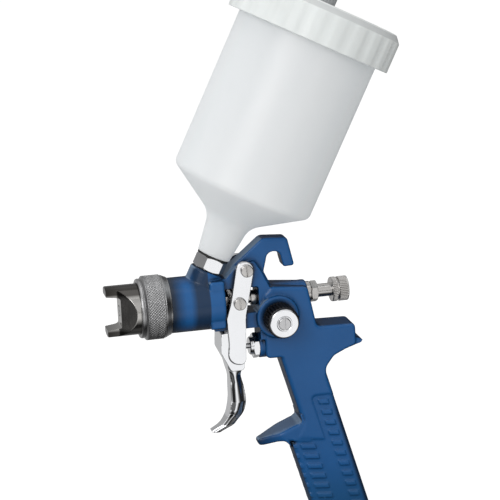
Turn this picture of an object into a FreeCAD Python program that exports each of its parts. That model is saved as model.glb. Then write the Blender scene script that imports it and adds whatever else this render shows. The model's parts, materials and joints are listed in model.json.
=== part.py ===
import FreeCAD, Part
import math
import os
import re
import Sketcher

from FreeCAD import Placement, Rotation, Vector

# A gravity-fed HVLP spray gun. Millimetres. The origin is the fluid tip's front
# face on the spray axis, +X points back along the needle, +Z is up, and the fan
# control knob is on the -Y side. All sizes live in the sheet; each group's name
# and each size's name make one alias, such as barrel_radius.
SIZES = {
    "spigot": dict(start=15.5, end=28.5, radius=15.94),
    "barrel": dict(radius=16.2, end=60, edge=1.5, plate_start=51, plate_half=13.6, plate_base=-13.8),
    "neck": dict(half=8.6, top_slope=22.3, web_top=8.5, web_bottom=-7, floor=-16.2, window_end=80.7, corner=1.6),
    "hook": dict(half=5.6, edge=1.6, tip=1.2, throat=3.4, crown=35.7, reach=102.6, drop=18.0, bend=2.5,
                 foot_x=67.4, foot_z=22.0, seat_radius=4.5, seat_x=91.2, seat_z=23.0),
    "block": dict(half=9.6, start=83.6, top=6.6, back=110.6, bottom=-36.0, edge=2.6, corner=3.0),
    "tail": dict(top=-19.8, back=138.2, tip_x=142.8, tip_z=-31.2, under_x=121.0, under_z=-43.5, beak_inset=1.4),
    "grip": dict(lean=16, front=78.8, low_front=68.6, back=102, half=8.9, round=3.2,
                 top=-52, end=-172, step=-104.5, step_low=-114, corner=10),
    "spur": dict(half=5.2, tip=50, tip_top=-105.4, tip_low=-109.2, root_top=-103.2, root_low=-119,
                 root=86, round=1.6, edge=1.7),
    "cheek": dict(half=9.6, step=-112.4, strip=89.8, top=-91.3, drop=0.404, slope=0.287, corner=1, round=3),
    "bar": dict(height=2.9, proud=0.7, back_start=91.9, back_length=5.4, back_top=-93.1, back_pitch=6.96,
                back_count=11, front_start=73.3, front_length=8.1, front_top=-115.8, front_pitch=6.7, front_count=8,
                edge_start=68.8, edge_length=2.9, edge_top=-114.2, edge_inset=0.2),
    "boss": dict(radius=10, top=21.5, fan_radius=12.6, fan_face=11.6, valve_radius=7.6, valve_front=80.6,
                 needle_radius=7.6, rear_x=61.4, rear_z=14.6),
    # places of the axes that the other pieces are turned on
    "cup_axis": dict(x=43.05, lean=26.5),
    "valve_axis": dict(z=-29.3),
    "fan_axis": dict(x=91.2, z=-10.4),
    "inlet_axis": dict(n=86.5),
    "pivot": dict(x=73.5, z=19.2, radius=2.5, running=0.06),
    "pull": dict(x=68.6, z=0, radius=2.2, block_radius=4.4, block_half=8.9, slot_half=2.2, slot_height=3.1),
    # passages in the casting
    "annulus": dict(inner=8.2, outer=13.4, end=32),
    "fluid_bore": dict(radius=2.4, thread_radius=5, thread_end=36),
    "inlet_bore": dict(radius=8, bottom=9, throat=3.2),
    "packing_bore": dict(radius=4, start=53),
    "spring_bore": dict(radius=4.6, end=104),
    "bushing_bore": dict(radius=5.05),
    "valve_bore": dict(radius=5.2, end=117),
    "fan_bore": dict(radius=4.6, far=5),
    "link_bore": dict(radius=2.2, x=88.5),
    "air_port": dict(radius=1.9, y=4.6, z=-11.8, start=30),
    "handle_bore": dict(radius=4.4, thread_radius=5.6, thread_start=158, top=58),
    # air cap, ring and fluid nozzle
    "cap": dict(radius=14.8, flange_radius=15.75, flange_start=13.1, flange_end=15.2, hollow_radius=12.8,
                hollow_start=8.6, face=2.2, orifice=3.3, edge=0.8, horn_tip=-8, horn_low=10, horn_draft=1.2,
                horn_half=5.8, horn_round=1.2, flat_start=-1.8, flat_end=8.9, flat_round=2.5,
                side_hole=0.6, side_z=5.6),
    "ring": dict(front=10.8, lip_radius=14.95, lip_end=13.0, seat_radius=15.85, bore_radius=16.0, radius=18.7,
                 back=28.3, front_radius=17.3, shoulder=14.2, knurl_end=24.2, back_radius=16.9, groove=0.5),
    "distributor": dict(start=15.3, end=15.48, radius=15.7, inner=8.4, lip_end=19, lip_inner=12.4, lip_outer=13.3),
    "nozzle": dict(tip_radius=2.6, tip_end=5.2, cone_radius=6.6, cone_end=11.2, hex=13.5, hex_end=15.1,
                   thread_radius=5, end=34, orifice=0.75, throat_end=0.8, cavity=2.3, cavity_start=4.5),
    "nozzle_gasket": dict(end=15.48, radius=7.6),
    # needle train
    "needle": dict(radius=1.5, tip_radius=0.45, tip_start=0.2, taper_end=4.2, end=112),
    "collar": dict(start=73.8, nose_radius=3.1, nose_end=77, radius=4.3, end=81),
    "packing": dict(start=53, end=57, running=0.05),
    "packing_nut": dict(head_end=63.6, hex=9.6, bore=1.7),
    "needle_spring": dict(start=81.5, end=103.2, radius=3.2, wire=0.42, pitch=2.9),
    "bushing": dict(start=104, flange_end=113.4, flange_radius=6.2, bore=3.96, seat_radius=6.5),
    "lock_nut": dict(start=113.5, end=117.2, hex=11.2),
    "fluid_knob": dict(stem_radius=3.9, stem_start=104.2, start=126, end=135.8, radius=7.3, edge=1.0,
                       needle_hole=1.75, hole_end=119, groove_start=129.2, groove_end=130.1, groove_radius=6.7,
                       flute=0.55, flutes=22),
    # trigger
    "arm": dict(inner=9, outer=11.5, top_round=5.2),
    "blade": dict(half=9.8, edge=2.2, finger_half=7.3, bend=14),
    "head": dict(radius=4.6, start=11.65, end=13.5, edge=0.7, slot_half=0.5, slot_depth=0.8),
    # air valve
    "gland": dict(front=75.2, hex=13.6, collar_end=77.2, collar_radius=5.4, end=86, thread_radius=5.2,
                  running=0.06, ring_pocket=3.4, ring_start=83.4),
    "stem": dict(radius=1.6, tip=60.7, end=95.6, round=0.8),
    "seat": dict(start=90.8, end=93.4, bore=3.2),
    "seal": dict(start=93.5, end=95.4, radius=4.4),
    "valve_spring": dict(start=96.0, end=116.5, radius=3.9, wire=0.5, pitch=3.2),
    "gland_ring": dict(wire=0.85),
    # fan control, along the knob's axis from the gun's middle plane outwards
    "fan_bushing": dict(start=3.6, end=11.6, flange=12.4, flange_radius=6.6, bore=2.56),
    "fan_knob": dict(start=12.7, end=24.6, radius=9.5, edge=0.8, flutes=30, flute=0.5),
    "fan_stem": dict(radius=2.5, start=-3.8, cone_end=0.5, end=23.4, tip_radius=1.2),
    "fan_face": dict(start=24.65, end=26.3, radius=8.5, edge=0.6),
    "fan_screw": dict(end=27.4, radius=3.7, shank=1.5, depth=17),
    # cup group, along the cup's axis from the needle axis upwards
    "connector": dict(start=10, thread_radius=7.94, hex_start=22, hex_end=29.5, hex=17, stub_radius=6.5,
                      stub_end=44, bore=4.2, flange_radius=8.6),
    "cup_gasket": dict(end=30.6, radius=9.4),
    "cup": dict(neck_radius=9.8, neck_top=53, neck_top_radius=12.8, shoulder=72, radius=42, wall=1.9,
                flare_start=166.4, flare_end=169.5, mouth_radius=45.2, rim=183.2, corner=7, neck_blend=14),
    "strainer": dict(start=44.02, flange_end=45.1, flange_radius=7.6, radius=5.6, top=68, wall=0.5),
    "lid": dict(start=165.8, end=187.6, radius=48.2, inner=45.7, top=3.2, top_radius=45.5, chamfer_start=183.4,
                rib=1.1, ribs=24, rib_half=3.6, rib_root=3, vent_hole=2.0),
    "lid_seal": dict(start=183.3, end=184.3, radius=45.4, inner=40),
    "vent_cap": dict(end=195, radius=8.6, stem_radius=1.9, stem_start=179, edge=1.2, hole=0.8),
    # air inlet, along the grip from the needle axis downwards
    "nipple": dict(hex=19, hex_start=173, hex_end=181, thread_radius=6.58, thread_end=193, bore=4.0, stub_start=159),
    "inlet_seal": dict(start=172, radius=8.4),
}

DOC = FreeCAD.newDocument("SprayGun")
WHOLE_TURN = 360
ALIASES = []
NODES = []


def fill_sheet():
    """Write every size into the spreadsheet as plain text and give it its alias."""
    sheet = DOC.addObject("Spreadsheet::Sheet", "Sizes")
    for group, values in SIZES.items():
        for name, value in values.items():
            row = len(ALIASES) + 1
            alias = group + "_" + name
            sheet.set("A%d" % row, alias)
            sheet.set("B%d" % row, str(value))
            sheet.setAlias("B%d" % row, alias)
            ALIASES.append(alias)
    DOC.recompute()
    return sheet


SHEET = fill_sheet()
KNOWN = set(ALIASES)


def formula(text):
    """Turn 'barrel_end - 2' into the expression 'Sizes.barrel_end - 2'."""
    return re.sub(r"[a-z_]+", lambda word: "Sizes." + word.group() if word.group() in KNOWN else word.group(), text)


def size(text):
    """The present value of a formula."""
    return float(SHEET.evalExpression(formula(text)))


def bind(thing, **formulas):
    """Bind properties to formulas of the sheet; a double underscore stands for a dot."""
    for name, text in formulas.items():
        thing.setExpression(name.replace("__", "."), formula(text))


# Each axis frame has its own Z along the axis. It holds the axis to turn about,
# the angle from straight up, and the frame's origin.
ACROSS = Vector(0, 1, 0)
ALONG = Vector(1, 0, 0)
FRAMES = {
    "gun": (ACROSS, "0", ("0", "0", "0")),
    "needle": (ACROSS, "90", ("0", "0", "0")),
    "valve": (ACROSS, "90", ("0", "0", "valve_axis_z")),
    "cup": (ACROSS, "cup_axis_lean", ("cup_axis_x", "0", "0")),
    "grip": (ACROSS, "0 - grip_lean", ("0", "0", "0")),
    "inlet": (ACROSS, "180 - grip_lean",
              ("inlet_axis_n * cos(grip_lean)", "0", "inlet_axis_n * sin(grip_lean)")),
    "fan": (ALONG, "90", ("fan_axis_x", "0", "fan_axis_z")),
    "pivot": (ALONG, "90", ("pivot_x", "0", "pivot_z")),
    "pull": (ALONG, "90", ("pull_x", "0", "pull_z")),
    "link": (ACROSS, "0", ("link_bore_x", "0", "0")),
    "hook": (ALONG, "90", ("hook_seat_x", "0", "hook_seat_z")),
}


def place(thing, frame):
    """Put a body or primitive into one of the axis frames."""
    about, angle, base = FRAMES[frame]
    thing.Placement = Placement(Vector(), Rotation(about, size(angle)))
    bind(thing, Placement__Rotation__Angle=angle)
    for letter, text in zip("xyz", base):
        if text != "0":
            thing.setExpression("Placement.Base." + letter, formula(text))


def node(thing, label):
    """Name a finished sub-part and keep it for export."""
    thing.Label = label
    NODES.append(thing)
    return thing


def new_body(name, frame):
    body = DOC.addObject("PartDesign::Body", name)
    place(body, frame)
    return body


def origin_part(body, role):
    return next(part for part in body.Origin.OriginFeatures if part.Role == role)


def new_sketch(body, role="XZ_Plane"):
    sketch = body.newObject("Sketcher::SketchObject", body.Name + "Sketch")
    sketch.AttachmentSupport = [(origin_part(body, role), "")]
    sketch.MapMode = "FlatFace"
    return sketch


class Corner:
    """One corner of a closed outline: its place, and the round on it if it has one."""

    def __init__(self, across, up, radius=None):
        self.texts = (across, up)
        self.radius_text = radius
        self.point = Vector(size(across), size(up), 0)
        self.radius = size(radius) if radius else 0

    def set_round(self, before, after):
        """Work out the tangent points and centre of this corner's arc."""
        self.start = self.end = self.point
        if not self.radius:
            return
        back = (before.point - self.point).normalize()
        ahead = (after.point - self.point).normalize()
        half_angle = back.getAngle(ahead) / 2
        reach = self.radius / math.tan(half_angle)
        self.start = self.point + back * reach
        self.end = self.point + ahead * reach
        self.centre = self.point + (back + ahead).normalize() * (self.radius / math.sin(half_angle))


def pin_point(sketch, geometry, vertex, corner):
    """Bind a sketch point to its corner's two formulas."""
    for kind, text, value in zip(("DistanceX", "DistanceY"), corner.texts, corner.point):
        number = sketch.addConstraint(Sketcher.Constraint(kind, -1, 1, geometry, vertex, value))
        sketch.setExpression("Constraints[%d]" % number, formula(text))


def round_corner(sketch, corner, before, after):
    """Draw a corner's arc, tangent to the lines before and after it."""
    spoke_in = corner.start - corner.centre
    spoke_out = corner.end - corner.centre
    angles = [math.atan2(spoke.y, spoke.x) for spoke in (spoke_in, spoke_out)]
    left_turn = spoke_in.cross(spoke_out).z > 0
    circle = Part.Circle(corner.centre, Vector(0, 0, 1), corner.radius)
    arc = sketch.addGeometry(Part.ArcOfCircle(circle, *(angles if left_turn else angles[::-1])), False)
    first, last = (1, 2) if left_turn else (2, 1)
    apex = sketch.addGeometry(Part.Point(corner.point), True)
    sketch.addConstraint([
        Sketcher.Constraint("Tangent", before, 2, arc, first),
        Sketcher.Constraint("Tangent", arc, last, after, 1),
        Sketcher.Constraint("PointOnObject", apex, 1, before),
        Sketcher.Constraint("PointOnObject", apex, 1, after),
    ])
    number = sketch.addConstraint(Sketcher.Constraint("Radius", arc, corner.radius))
    sketch.setExpression("Constraints[%d]" % number, formula(corner.radius_text))
    pin_point(sketch, apex, 1, corner)


def draw_outline(sketch, places):
    """Draw a closed outline whose corners, and their rounds, follow the sheet."""
    corners = [Corner(*texts) for texts in places]
    followers = corners[1:] + corners[:1]
    for before, corner, after in zip(corners[-1:] + corners[:-1], corners, followers):
        corner.set_round(before, after)
    lines = [sketch.addGeometry(Part.LineSegment(corner.end, after.start), False)
             for corner, after in zip(corners, followers)]
    for number, corner in enumerate(corners):
        before, after = lines[number - 1], lines[number]
        if corner.radius:
            round_corner(sketch, corner, before, after)
        else:
            sketch.addConstraint(Sketcher.Constraint("Coincident", before, 2, after, 1))
            pin_point(sketch, after, 1, corner)


def settle(body, feature):
    """Make a feature the body's tip and recompute."""
    body.Tip = feature
    DOC.recompute()
    return feature


def pad(body, places, half):
    """Pad an outline of the middle plane to both sides."""
    sketch = new_sketch(body)
    draw_outline(sketch, places)
    feature = body.newObject("PartDesign::Pad", body.Name + "Pad")
    feature.Profile = sketch
    feature.SideType = "Symmetric"
    bind(feature, Length="2 * (%s)" % half)
    return settle(body, feature)


def pocket(body, places, half):
    """Cut an outline of the middle plane to both sides."""
    sketch = new_sketch(body)
    draw_outline(sketch, places)
    feature = body.newObject("PartDesign::Pocket", body.Name + "Pocket")
    feature.Profile = sketch
    feature.SideType = "Symmetric"
    bind(feature, Length="2 * (%s)" % half)
    return settle(body, feature)


def fillet(body, radius, chosen):
    """Round the edges of the tip whose middle point passes the test."""
    base = body.Tip
    edges = []
    for number, edge in enumerate(base.Shape.Edges, 1):
        middle = edge.valueAt((edge.FirstParameter + edge.LastParameter) / 2)
        if chosen(middle):
            edges.append("Edge%d" % number)
    feature = body.newObject("PartDesign::Fillet", body.Name + "Fillet")
    feature.Base = (base, edges)
    bind(feature, Radius=radius)
    return settle(body, feature)


def revolve(body, places):
    """Turn a profile of (radius, station) corners about the body's own Z."""
    sketch = new_sketch(body)
    draw_outline(sketch, places)
    feature = body.newObject("PartDesign::Revolution", body.Name + "Turned")
    feature.Profile = sketch
    feature.ReferenceAxis = (sketch, ["V_Axis"])
    feature.Angle = WHOLE_TURN
    return settle(body, feature)


def turned(name, frame, outside, inside=()):
    """A turned body. Both profiles are (station, radius[, round]) from the first face to the last."""
    body = new_body(name, frame)
    outer = [(point[1], point[0]) + tuple(point[2:]) for point in outside]
    inner = [(point[1], point[0]) + tuple(point[2:]) for point in inside]
    if not inner:
        inner = [("0", outside[0][0]), ("0", outside[-1][0])]
    revolve(body, outer + inner[::-1])
    return body


def primitive(body, kind, station, role="XY_Plane", **formulas):
    """A PartDesign primitive standing on the body's own axis at a station."""
    feature = body.newObject("PartDesign::" + kind, body.Name + kind)
    feature.AttachmentSupport = [(origin_part(body, role), "")]
    feature.MapMode = "FlatFace"
    bind(feature, AttachmentOffset__Base__z=station, **formulas)
    return feature


def add_hexagon(body, start, end, across_flats):
    feature = primitive(body, "AdditivePrism", start, Height="(%s) - (%s)" % (end, start),
                        Circumradius="(%s) / sqrt(3)" % across_flats)
    return settle(body, feature)


def cut_bore(body, start, end, radius):
    feature = primitive(body, "SubtractiveCylinder", start, Height="(%s) - (%s)" % (end, start), Radius=radius)
    return settle(body, feature)


def cut_box(body, start, end, half_wide, half_tall):
    """Cut a slot across the body's own axis."""
    feature = primitive(body, "SubtractiveBox", start, Height="(%s) - (%s)" % (end, start),
                        Length="2 * (%s)" % half_wide, Width="2 * (%s)" % half_tall,
                        AttachmentOffset__Base__x="0 - (%s)" % half_wide,
                        AttachmentOffset__Base__y="0 - (%s)" % half_tall)
    return settle(body, feature)


def polar(body, feature, count):
    """Repeat a feature round the body's own axis."""
    pattern = body.newObject("PartDesign::PolarPattern", body.Name + "Pattern")
    pattern.Originals = [feature]
    pattern.Axis = (origin_part(body, "Z_Axis"), [""])
    pattern.Angle = WHOLE_TURN
    bind(pattern, Occurrences=count)
    return settle(body, pattern)


def drilling(name, frame, start, end, radius):
    """A plain cylinder in an axis frame, used to cut a passage."""
    cylinder = DOC.addObject("Part::Cylinder", name)
    about, angle, base = FRAMES[frame]
    turn = Rotation(about, size(angle))
    cylinder.Placement = Placement(Vector(), turn)
    bind(cylinder, Radius=radius, Height="(%s) - (%s)" % (end, start), Placement__Rotation__Angle=angle)
    slants = {"needle": {"x": "1"}, "valve": {"x": "1"}, "link": {"z": "1"}, "fan": {"y": "-1"},
              "pivot": {"y": "-1"}, "hook": {"y": "-1"}, "cup": {"x": "sin(cup_axis_lean)", "z": "cos(cup_axis_lean)"},
              "inlet": {"x": "sin(grip_lean)", "z": "-cos(grip_lean)"}}[frame]
    for letter, text in zip("xyz", base):
        if letter in slants or text != "0":
            share = slants.get(letter, "0")
            cylinder.setExpression("Placement.Base." + letter, formula("%s + (%s) * (%s)" % (text, start, share)))
    return cylinder


def fuse(name, parts):
    whole = DOC.addObject("Part::MultiFuse", name)
    whole.Shapes = parts
    return whole


# ---------------------------------------------------------------- the casting

def casting_barrel():
    """The turned barrel with the spigot that the retaining ring screws on."""
    return turned("Barrel", "needle", [
        ("spigot_start", "spigot_radius"),
        ("spigot_end", "spigot_radius"),
        ("spigot_end", "barrel_radius"),
        ("barrel_end", "barrel_radius", "barrel_edge"),
    ])


def casting_plate():
    """The flat-sided plate behind the barrel, which runs up into the hook's foot."""
    body = new_body("Plate", "gun")
    pad(body, [
        ("barrel_plate_start", "barrel_plate_base"),
        ("barrel_end", "barrel_plate_base", "neck_corner"),
        ("barrel_end", "boss_rear_z", "neck_corner"),
        ("barrel_plate_start", "boss_rear_z", "neck_corner"),
    ], "barrel_plate_half")
    fillet(body, "neck_corner", lambda point: abs(point.y) > size("barrel_plate_half") - 0.1)
    return body


def casting_neck():
    """The neck between barrel and handle, with the window that shows the packing nut."""
    body = new_body("Neck", "gun")
    pad(body, [
        ("barrel_end - 6", "neck_floor"),
        ("boss_valve_front + 0.3", "neck_floor"),
        ("boss_valve_front + 0.3", "block_bottom + 12"),
        ("block_start + 4", "block_bottom + 12"),
        ("block_start + 4", "block_top + 0.4"),
        ("block_start - 1", "block_top + 11", "neck_corner"),
        ("block_start - 5", "neck_top_slope + 1.5", "neck_corner"),
        ("hook_foot_x + 0.6", "hook_foot_z - 0.7", "neck_corner"),
        ("boss_rear_x", "boss_rear_z"),
        ("barrel_end - 6", "boss_rear_z"),
    ], "neck_half")
    pocket(body, [
        ("barrel_end", "neck_web_bottom", "neck_corner"),
        ("neck_window_end", "neck_web_bottom", "neck_corner"),
        ("neck_window_end", "neck_web_top", "neck_corner"),
        ("barrel_end", "neck_web_top", "neck_corner"),
    ], "neck_half + 1")
    return body


def casting_hook():
    """The hanging hook, which rises from the plate in a straight slope."""
    body = new_body("Hook", "gun")
    pad(body, [
        ("barrel_end - 3", "boss_rear_z - 4"),
        ("block_start + 5", "block_top - 1"),
        ("block_start + 5", "block_top + 2", "hook_bend"),
        ("hook_seat_x - hook_throat - 2.8", "block_top + 9.5", "hook_bend"),
        ("hook_seat_x - hook_throat", "hook_crown - 8.7", "hook_throat * 0.94"),
        ("hook_seat_x + hook_throat", "hook_crown - 8.7", "hook_throat * 0.94"),
        ("hook_reach - 5.6", "hook_drop - 0.4", "hook_tip"),
        ("hook_reach + 1", "hook_drop", "hook_tip"),
        ("hook_reach - 2.9", "hook_crown - 0.6", "hook_bend"),
        ("hook_reach - 18.0", "hook_crown + 0.4", "hook_bend * 2"),
        ("hook_foot_x", "hook_foot_z", "hook_tip"),
        ("boss_rear_x", "boss_rear_z", "hook_tip"),
    ], "hook_half")
    fillet(body, "hook_edge", lambda point: abs(point.y) > size("hook_half") - 0.1
           and point.z > size("block_top + 4") and point.x > size("barrel_end + 4")
           and math.hypot(point.x - size("hook_seat_x"), point.z - size("hook_seat_z")) > size("hook_seat_radius + 3"))
    return body


def casting_block():
    """The block over the hand: spring bore, air valve chamber and tail."""
    body = new_body("Block", "gun")
    pad(body, [
        ("block_start", "block_bottom", "block_corner"),
        ("block_start + 9.5", "block_bottom", "block_corner"),
        ("block_start + 20", "block_bottom - 14", "block_corner"),
        ("tail_under_x - 1.2", "tail_under_z - 14", "block_corner"),
        ("tail_under_x - 1.2", "tail_under_z - 1.5", "block_corner * 2"),
        ("tail_under_x + 3.8", "tail_tip_z - 7.2", "block_corner * 2"),
        ("tail_tip_x - 11", "tail_tip_z - 4", "block_corner * 2"),
        ("tail_back + 0.5", "tail_tip_z - 1.6", "block_edge"),
        ("tail_back", "tail_top", "block_edge"),
        ("block_back + 4.4", "tail_top + 0.6", "block_corner"),
        ("block_back - 0.6", "block_top - 1.2", "block_edge"),
        ("block_start + 4.5", "block_top + 0.9", "block_corner"),
        ("block_start", "block_top - 4", "block_corner"),
    ], "block_half")
    fillet(body, "block_edge - 0.8", lambda point: abs(point.y) > size("block_half") - 0.1)
    return body


def casting_beak():
    """The small beak at the tail's lower corner."""
    body = new_body("Beak", "gun")
    pad(body, [
        ("tail_back - 4", "tail_tip_z + 4"),
        ("tail_back - 1.5", "tail_tip_z + 3.4"),
        ("tail_tip_x", "tail_tip_z + 0.6"),
        ("tail_tip_x - 0.9", "tail_tip_z - 0.9"),
        ("tail_tip_x - 8", "tail_tip_z - 3"),
    ], "block_half - tail_beak_inset")
    return body


def casting_grip():
    """The handle's core, drawn in a frame that leans with it."""
    body = new_body("Grip", "grip")
    pad(body, [
        ("grip_front", "grip_top"),
        ("grip_front", "grip_step", "grip_corner"),
        ("grip_low_front", "grip_step_low", "grip_corner"),
        ("grip_low_front", "grip_end"),
        ("grip_back", "grip_end"),
        ("grip_back", "grip_top"),
    ], "grip_half")
    along = Rotation(ACROSS, -size("grip_lean"))

    def on_side(point):
        height = along.inverted().multVec(point).z
        return abs(point.y) > size("grip_half") - 0.1 and size("grip_end + 1") < height < size("grip_top - 1")

    fillet(body, "grip_round", on_side)
    return body


def casting_spur():
    """The finger rest in front of the handle."""
    body = new_body("Spur", "grip")
    pad(body, [
        ("spur_root", "spur_root_top + 4"),
        ("grip_front - 3", "spur_root_top", "grip_corner / 2"),
        ("spur_tip", "spur_tip_top", "spur_round"),
        ("spur_tip + 0.5", "spur_tip_low", "spur_round"),
        ("grip_low_front - 0.5", "spur_root_low + 2", "grip_corner / 3"),
        ("spur_root", "spur_root_low"),
    ], "spur_half")
    fillet(body, "spur_edge", lambda point: abs(point.y) > size("spur_half") - 0.1
           and point.x < size("spur_tip + 42"))
    return body


def casting_cheek():
    """The handle's smooth upper part, flush with the block; its lower edge is a step down to the core."""
    body = new_body("Cheek", "grip")
    pad(body, [
        ("grip_front", "grip_top"),
        ("grip_front", "grip_step + 1.5", "grip_corner / 2"),
        ("grip_low_front + 1", "cheek_step"),
        ("cheek_strip", "cheek_step - cheek_drop * (cheek_strip - grip_low_front)", "cheek_corner"),
        ("cheek_strip", "cheek_top", "cheek_corner"),
        ("grip_back", "cheek_top - cheek_slope * (grip_back - cheek_strip)"),
        ("grip_back", "grip_top"),
    ], "cheek_half")
    along = Rotation(ACROSS, -size("grip_lean"))

    def on_edge(point):
        place = along.inverted().multVec(point)
        inside = size("grip_front + 0.2") < place.x < size("grip_back - 0.1")
        return abs(place.y) > size("cheek_half") - 0.1 and not inside and place.z < size("grip_top - 1")

    fillet(body, "cheek_round", on_edge)
    return body


def casting_bars(name, column, half):
    """A column of raised bars on both sides of the handle, level with its smooth upper part."""
    start, length, top = ("bar_%s_%s" % (column, word) for word in ("start", "length", "top"))
    body = new_body(name, "grip")
    bar = pad(body, [
        (start, top),
        ("%s + %s" % (start, length), "%s - cheek_drop * %s" % (top, length)),
        ("%s + %s" % (start, length), "%s - cheek_drop * %s - bar_height" % (top, length)),
        (start, top + " - bar_height"),
    ], half)
    column = column.replace("edge", "front")
    pattern = body.newObject("PartDesign::LinearPattern", name + "Row")
    pattern.Originals = [bar]
    pattern.Direction = (origin_part(body, "Z_Axis"), [""])
    pattern.Reversed = True
    bind(pattern, Length="bar_%s_pitch * (bar_%s_count - 1)" % (column, column), Occurrences="bar_%s_count" % column)
    settle(body, pattern)
    return body


def casting_boss(name, frame, start, end, radius, edge="block_edge / 2"):
    """A round boss; only its outer end is rounded."""
    return turned(name, frame, [(start, radius), (end, radius, edge)])


def gun_body():
    """The whole casting: its solids fused, then its passages cut."""
    solids = [
        casting_barrel(), casting_plate(), casting_neck(), casting_hook(), casting_block(),
        casting_beak(), casting_grip(), casting_cheek(), casting_spur(),
        casting_bars("BackBars", "back", "grip_half + bar_proud"),
        casting_bars("FrontBars", "front", "grip_half + bar_proud"),
        casting_bars("EdgeBars", "edge", "grip_half - bar_edge_inset"),
        casting_boss("InletBoss", "cup", "4", "boss_top", "boss_radius"),
        casting_boss("FanBoss", "fan", "0", "boss_fan_face", "boss_fan_radius"),
        casting_boss("ValveBoss", "valve", "boss_valve_front", "block_start + 12", "boss_valve_radius"),
        casting_boss("NeedleBoss", "needle", "block_start", "block_back", "boss_needle_radius"),
    ]
    passages = [
        turned("Annulus", "needle", [("spigot_start - 1", "annulus_outer"), ("annulus_end", "annulus_outer")],
               [("spigot_start - 1", "annulus_inner"), ("annulus_end", "annulus_inner")]),
        drilling("NozzleThread", "needle", "spigot_start - 1", "fluid_bore_thread_end", "fluid_bore_thread_radius"),
        drilling("FluidBore", "needle", "fluid_bore_thread_end - 1", "packing_bore_start + 1", "fluid_bore_radius"),
        drilling("PackingBore", "needle", "packing_bore_start", "barrel_end + 1", "packing_bore_radius"),
        drilling("InletBore", "cup", "inlet_bore_bottom", "boss_top + 1", "inlet_bore_radius"),
        drilling("InletThroat", "cup", "0", "inlet_bore_bottom + 1", "inlet_bore_throat"),
        drilling("SpringBore", "needle", "neck_window_end - 1", "spring_bore_end", "spring_bore_radius"),
        drilling("BushingBore", "needle", "spring_bore_end - 0.5", "block_back + 2", "bushing_bore_radius"),
        drilling("BushingSeat", "needle", "block_back", "block_back + 6", "bushing_seat_radius"),
        drilling("ValveBore", "valve", "boss_valve_front - 1", "valve_bore_end", "valve_bore_radius"),
        drilling("FanBore", "fan", "0 - fan_bore_far", "boss_fan_face + 1", "fan_bore_radius"),
        drilling("LinkBore", "link", "valve_axis_z", "fan_axis_z", "link_bore_radius"),
        drilling("HandleBore", "inlet", "handle_bore_top", "handle_bore_thread_start + 1", "handle_bore_radius"),
        drilling("InletThread", "inlet", "handle_bore_thread_start", "1 - grip_end", "handle_bore_thread_radius"),
        drilling("HookSeat", "hook", "0 - hook_half - 1", "hook_half + 1", "hook_seat_radius"),
        drilling("PivotHole", "pivot", "0 - neck_half - 1", "neck_half + 1", "pivot_radius"),
        air_port("NearPort", "air_port_y"),
        air_port("FarPort", "0 - air_port_y"),
    ]
    whole = DOC.addObject("Part::Cut", "Casting")
    whole.Base = fuse("Solids", solids)
    whole.Tool = fuse("Passages", passages)
    return node(whole, "gun_body")


def air_port(name, across):
    """One of the two passages that carry air forward to the ring-shaped chamber."""
    cylinder = DOC.addObject("Part::Cylinder", name)
    cylinder.Placement = Placement(Vector(), Rotation(ACROSS, 90))
    bind(cylinder, Radius="air_port_radius", Height="fan_axis_x - air_port_start",
         Placement__Base__x="air_port_start", Placement__Base__y=across, Placement__Base__z="air_port_z")
    return cylinder


# ------------------------------------------------------- the spray end, front to back

def air_cap():
    """The air cap: a hollow turned cap, milled so that two horns stand above its face."""
    body = turned("AirCap", "needle", [
        ("cap_horn_tip", "cap_radius", "cap_edge"),
        ("cap_flange_start", "cap_radius"),
        ("cap_flange_start", "cap_flange_radius"),
        ("cap_flange_end", "cap_flange_radius"),
    ], [
        ("cap_horn_tip", "0"),
        ("cap_face", "0"),
        ("cap_face", "cap_hollow_radius - 4"),
        ("cap_hollow_start", "cap_hollow_radius", "cap_edge"),
        ("cap_flange_end", "cap_hollow_radius"),
    ])
    past = "(cap_horn_tip - 1)"
    pocket(body, [
        ("0 - cap_horn_low", past),
        ("cap_horn_low", past),
        ("cap_horn_low - cap_horn_draft", "0", "cap_horn_round"),
        ("cap_horn_draft - cap_horn_low", "0", "cap_horn_round"),
    ], "cap_radius + 1")
    for side in ("", "0 - "):
        milled = new_sketch(body, "YZ_Plane")
        outer = side + "(cap_radius + 2)"
        draw_outline(milled, [
            (side + "cap_horn_half", past),
            (side + "cap_horn_half", "cap_flat_start", "cap_flat_round"),
            (side + "(cap_radius + 0.4)", "cap_flat_end"),
            (outer, "cap_flat_end"),
            (outer, past),
        ])
        flat = body.newObject("PartDesign::Pocket", "Flat")
        flat.Profile = milled
        flat.SideType = "Symmetric"
        bind(flat, Length="2 * cap_radius + 2")
        settle(body, flat)
    cut_bore(body, "0 - 1", "cap_face + 1", "cap_orifice")
    for side in ("", "0 - "):
        hole = primitive(body, "SubtractiveCylinder", "0 - 1", Radius="cap_side_hole", Height="cap_face + 2",
                         AttachmentOffset__Base__x=side + "cap_side_z")
        settle(body, hole)
    return node(body, "air_cap")


def cap_ring():
    """The retaining ring that holds the air cap on the barrel."""
    body = turned("RetainingRing", "needle", [
        ("ring_front", "ring_front_radius", "ring_groove"),
        ("ring_shoulder - 1", "ring_front_radius"),
        ("ring_shoulder", "ring_radius"),
        ("ring_knurl_end", "ring_radius", "ring_groove"),
        ("ring_knurl_end + 1.2", "ring_radius - 0.8", "ring_groove"),
        ("ring_back", "ring_back_radius", "ring_groove"),
    ], [
        ("ring_front", "ring_lip_radius"),
        ("ring_lip_end", "ring_lip_radius"),
        ("ring_lip_end", "ring_seat_radius"),
        ("cap_flange_end + 0.1", "ring_seat_radius"),
        ("cap_flange_end + 0.1", "ring_bore_radius"),
        ("ring_back", "ring_bore_radius"),
    ])
    return node(body, "cap_retaining_ring")


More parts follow.
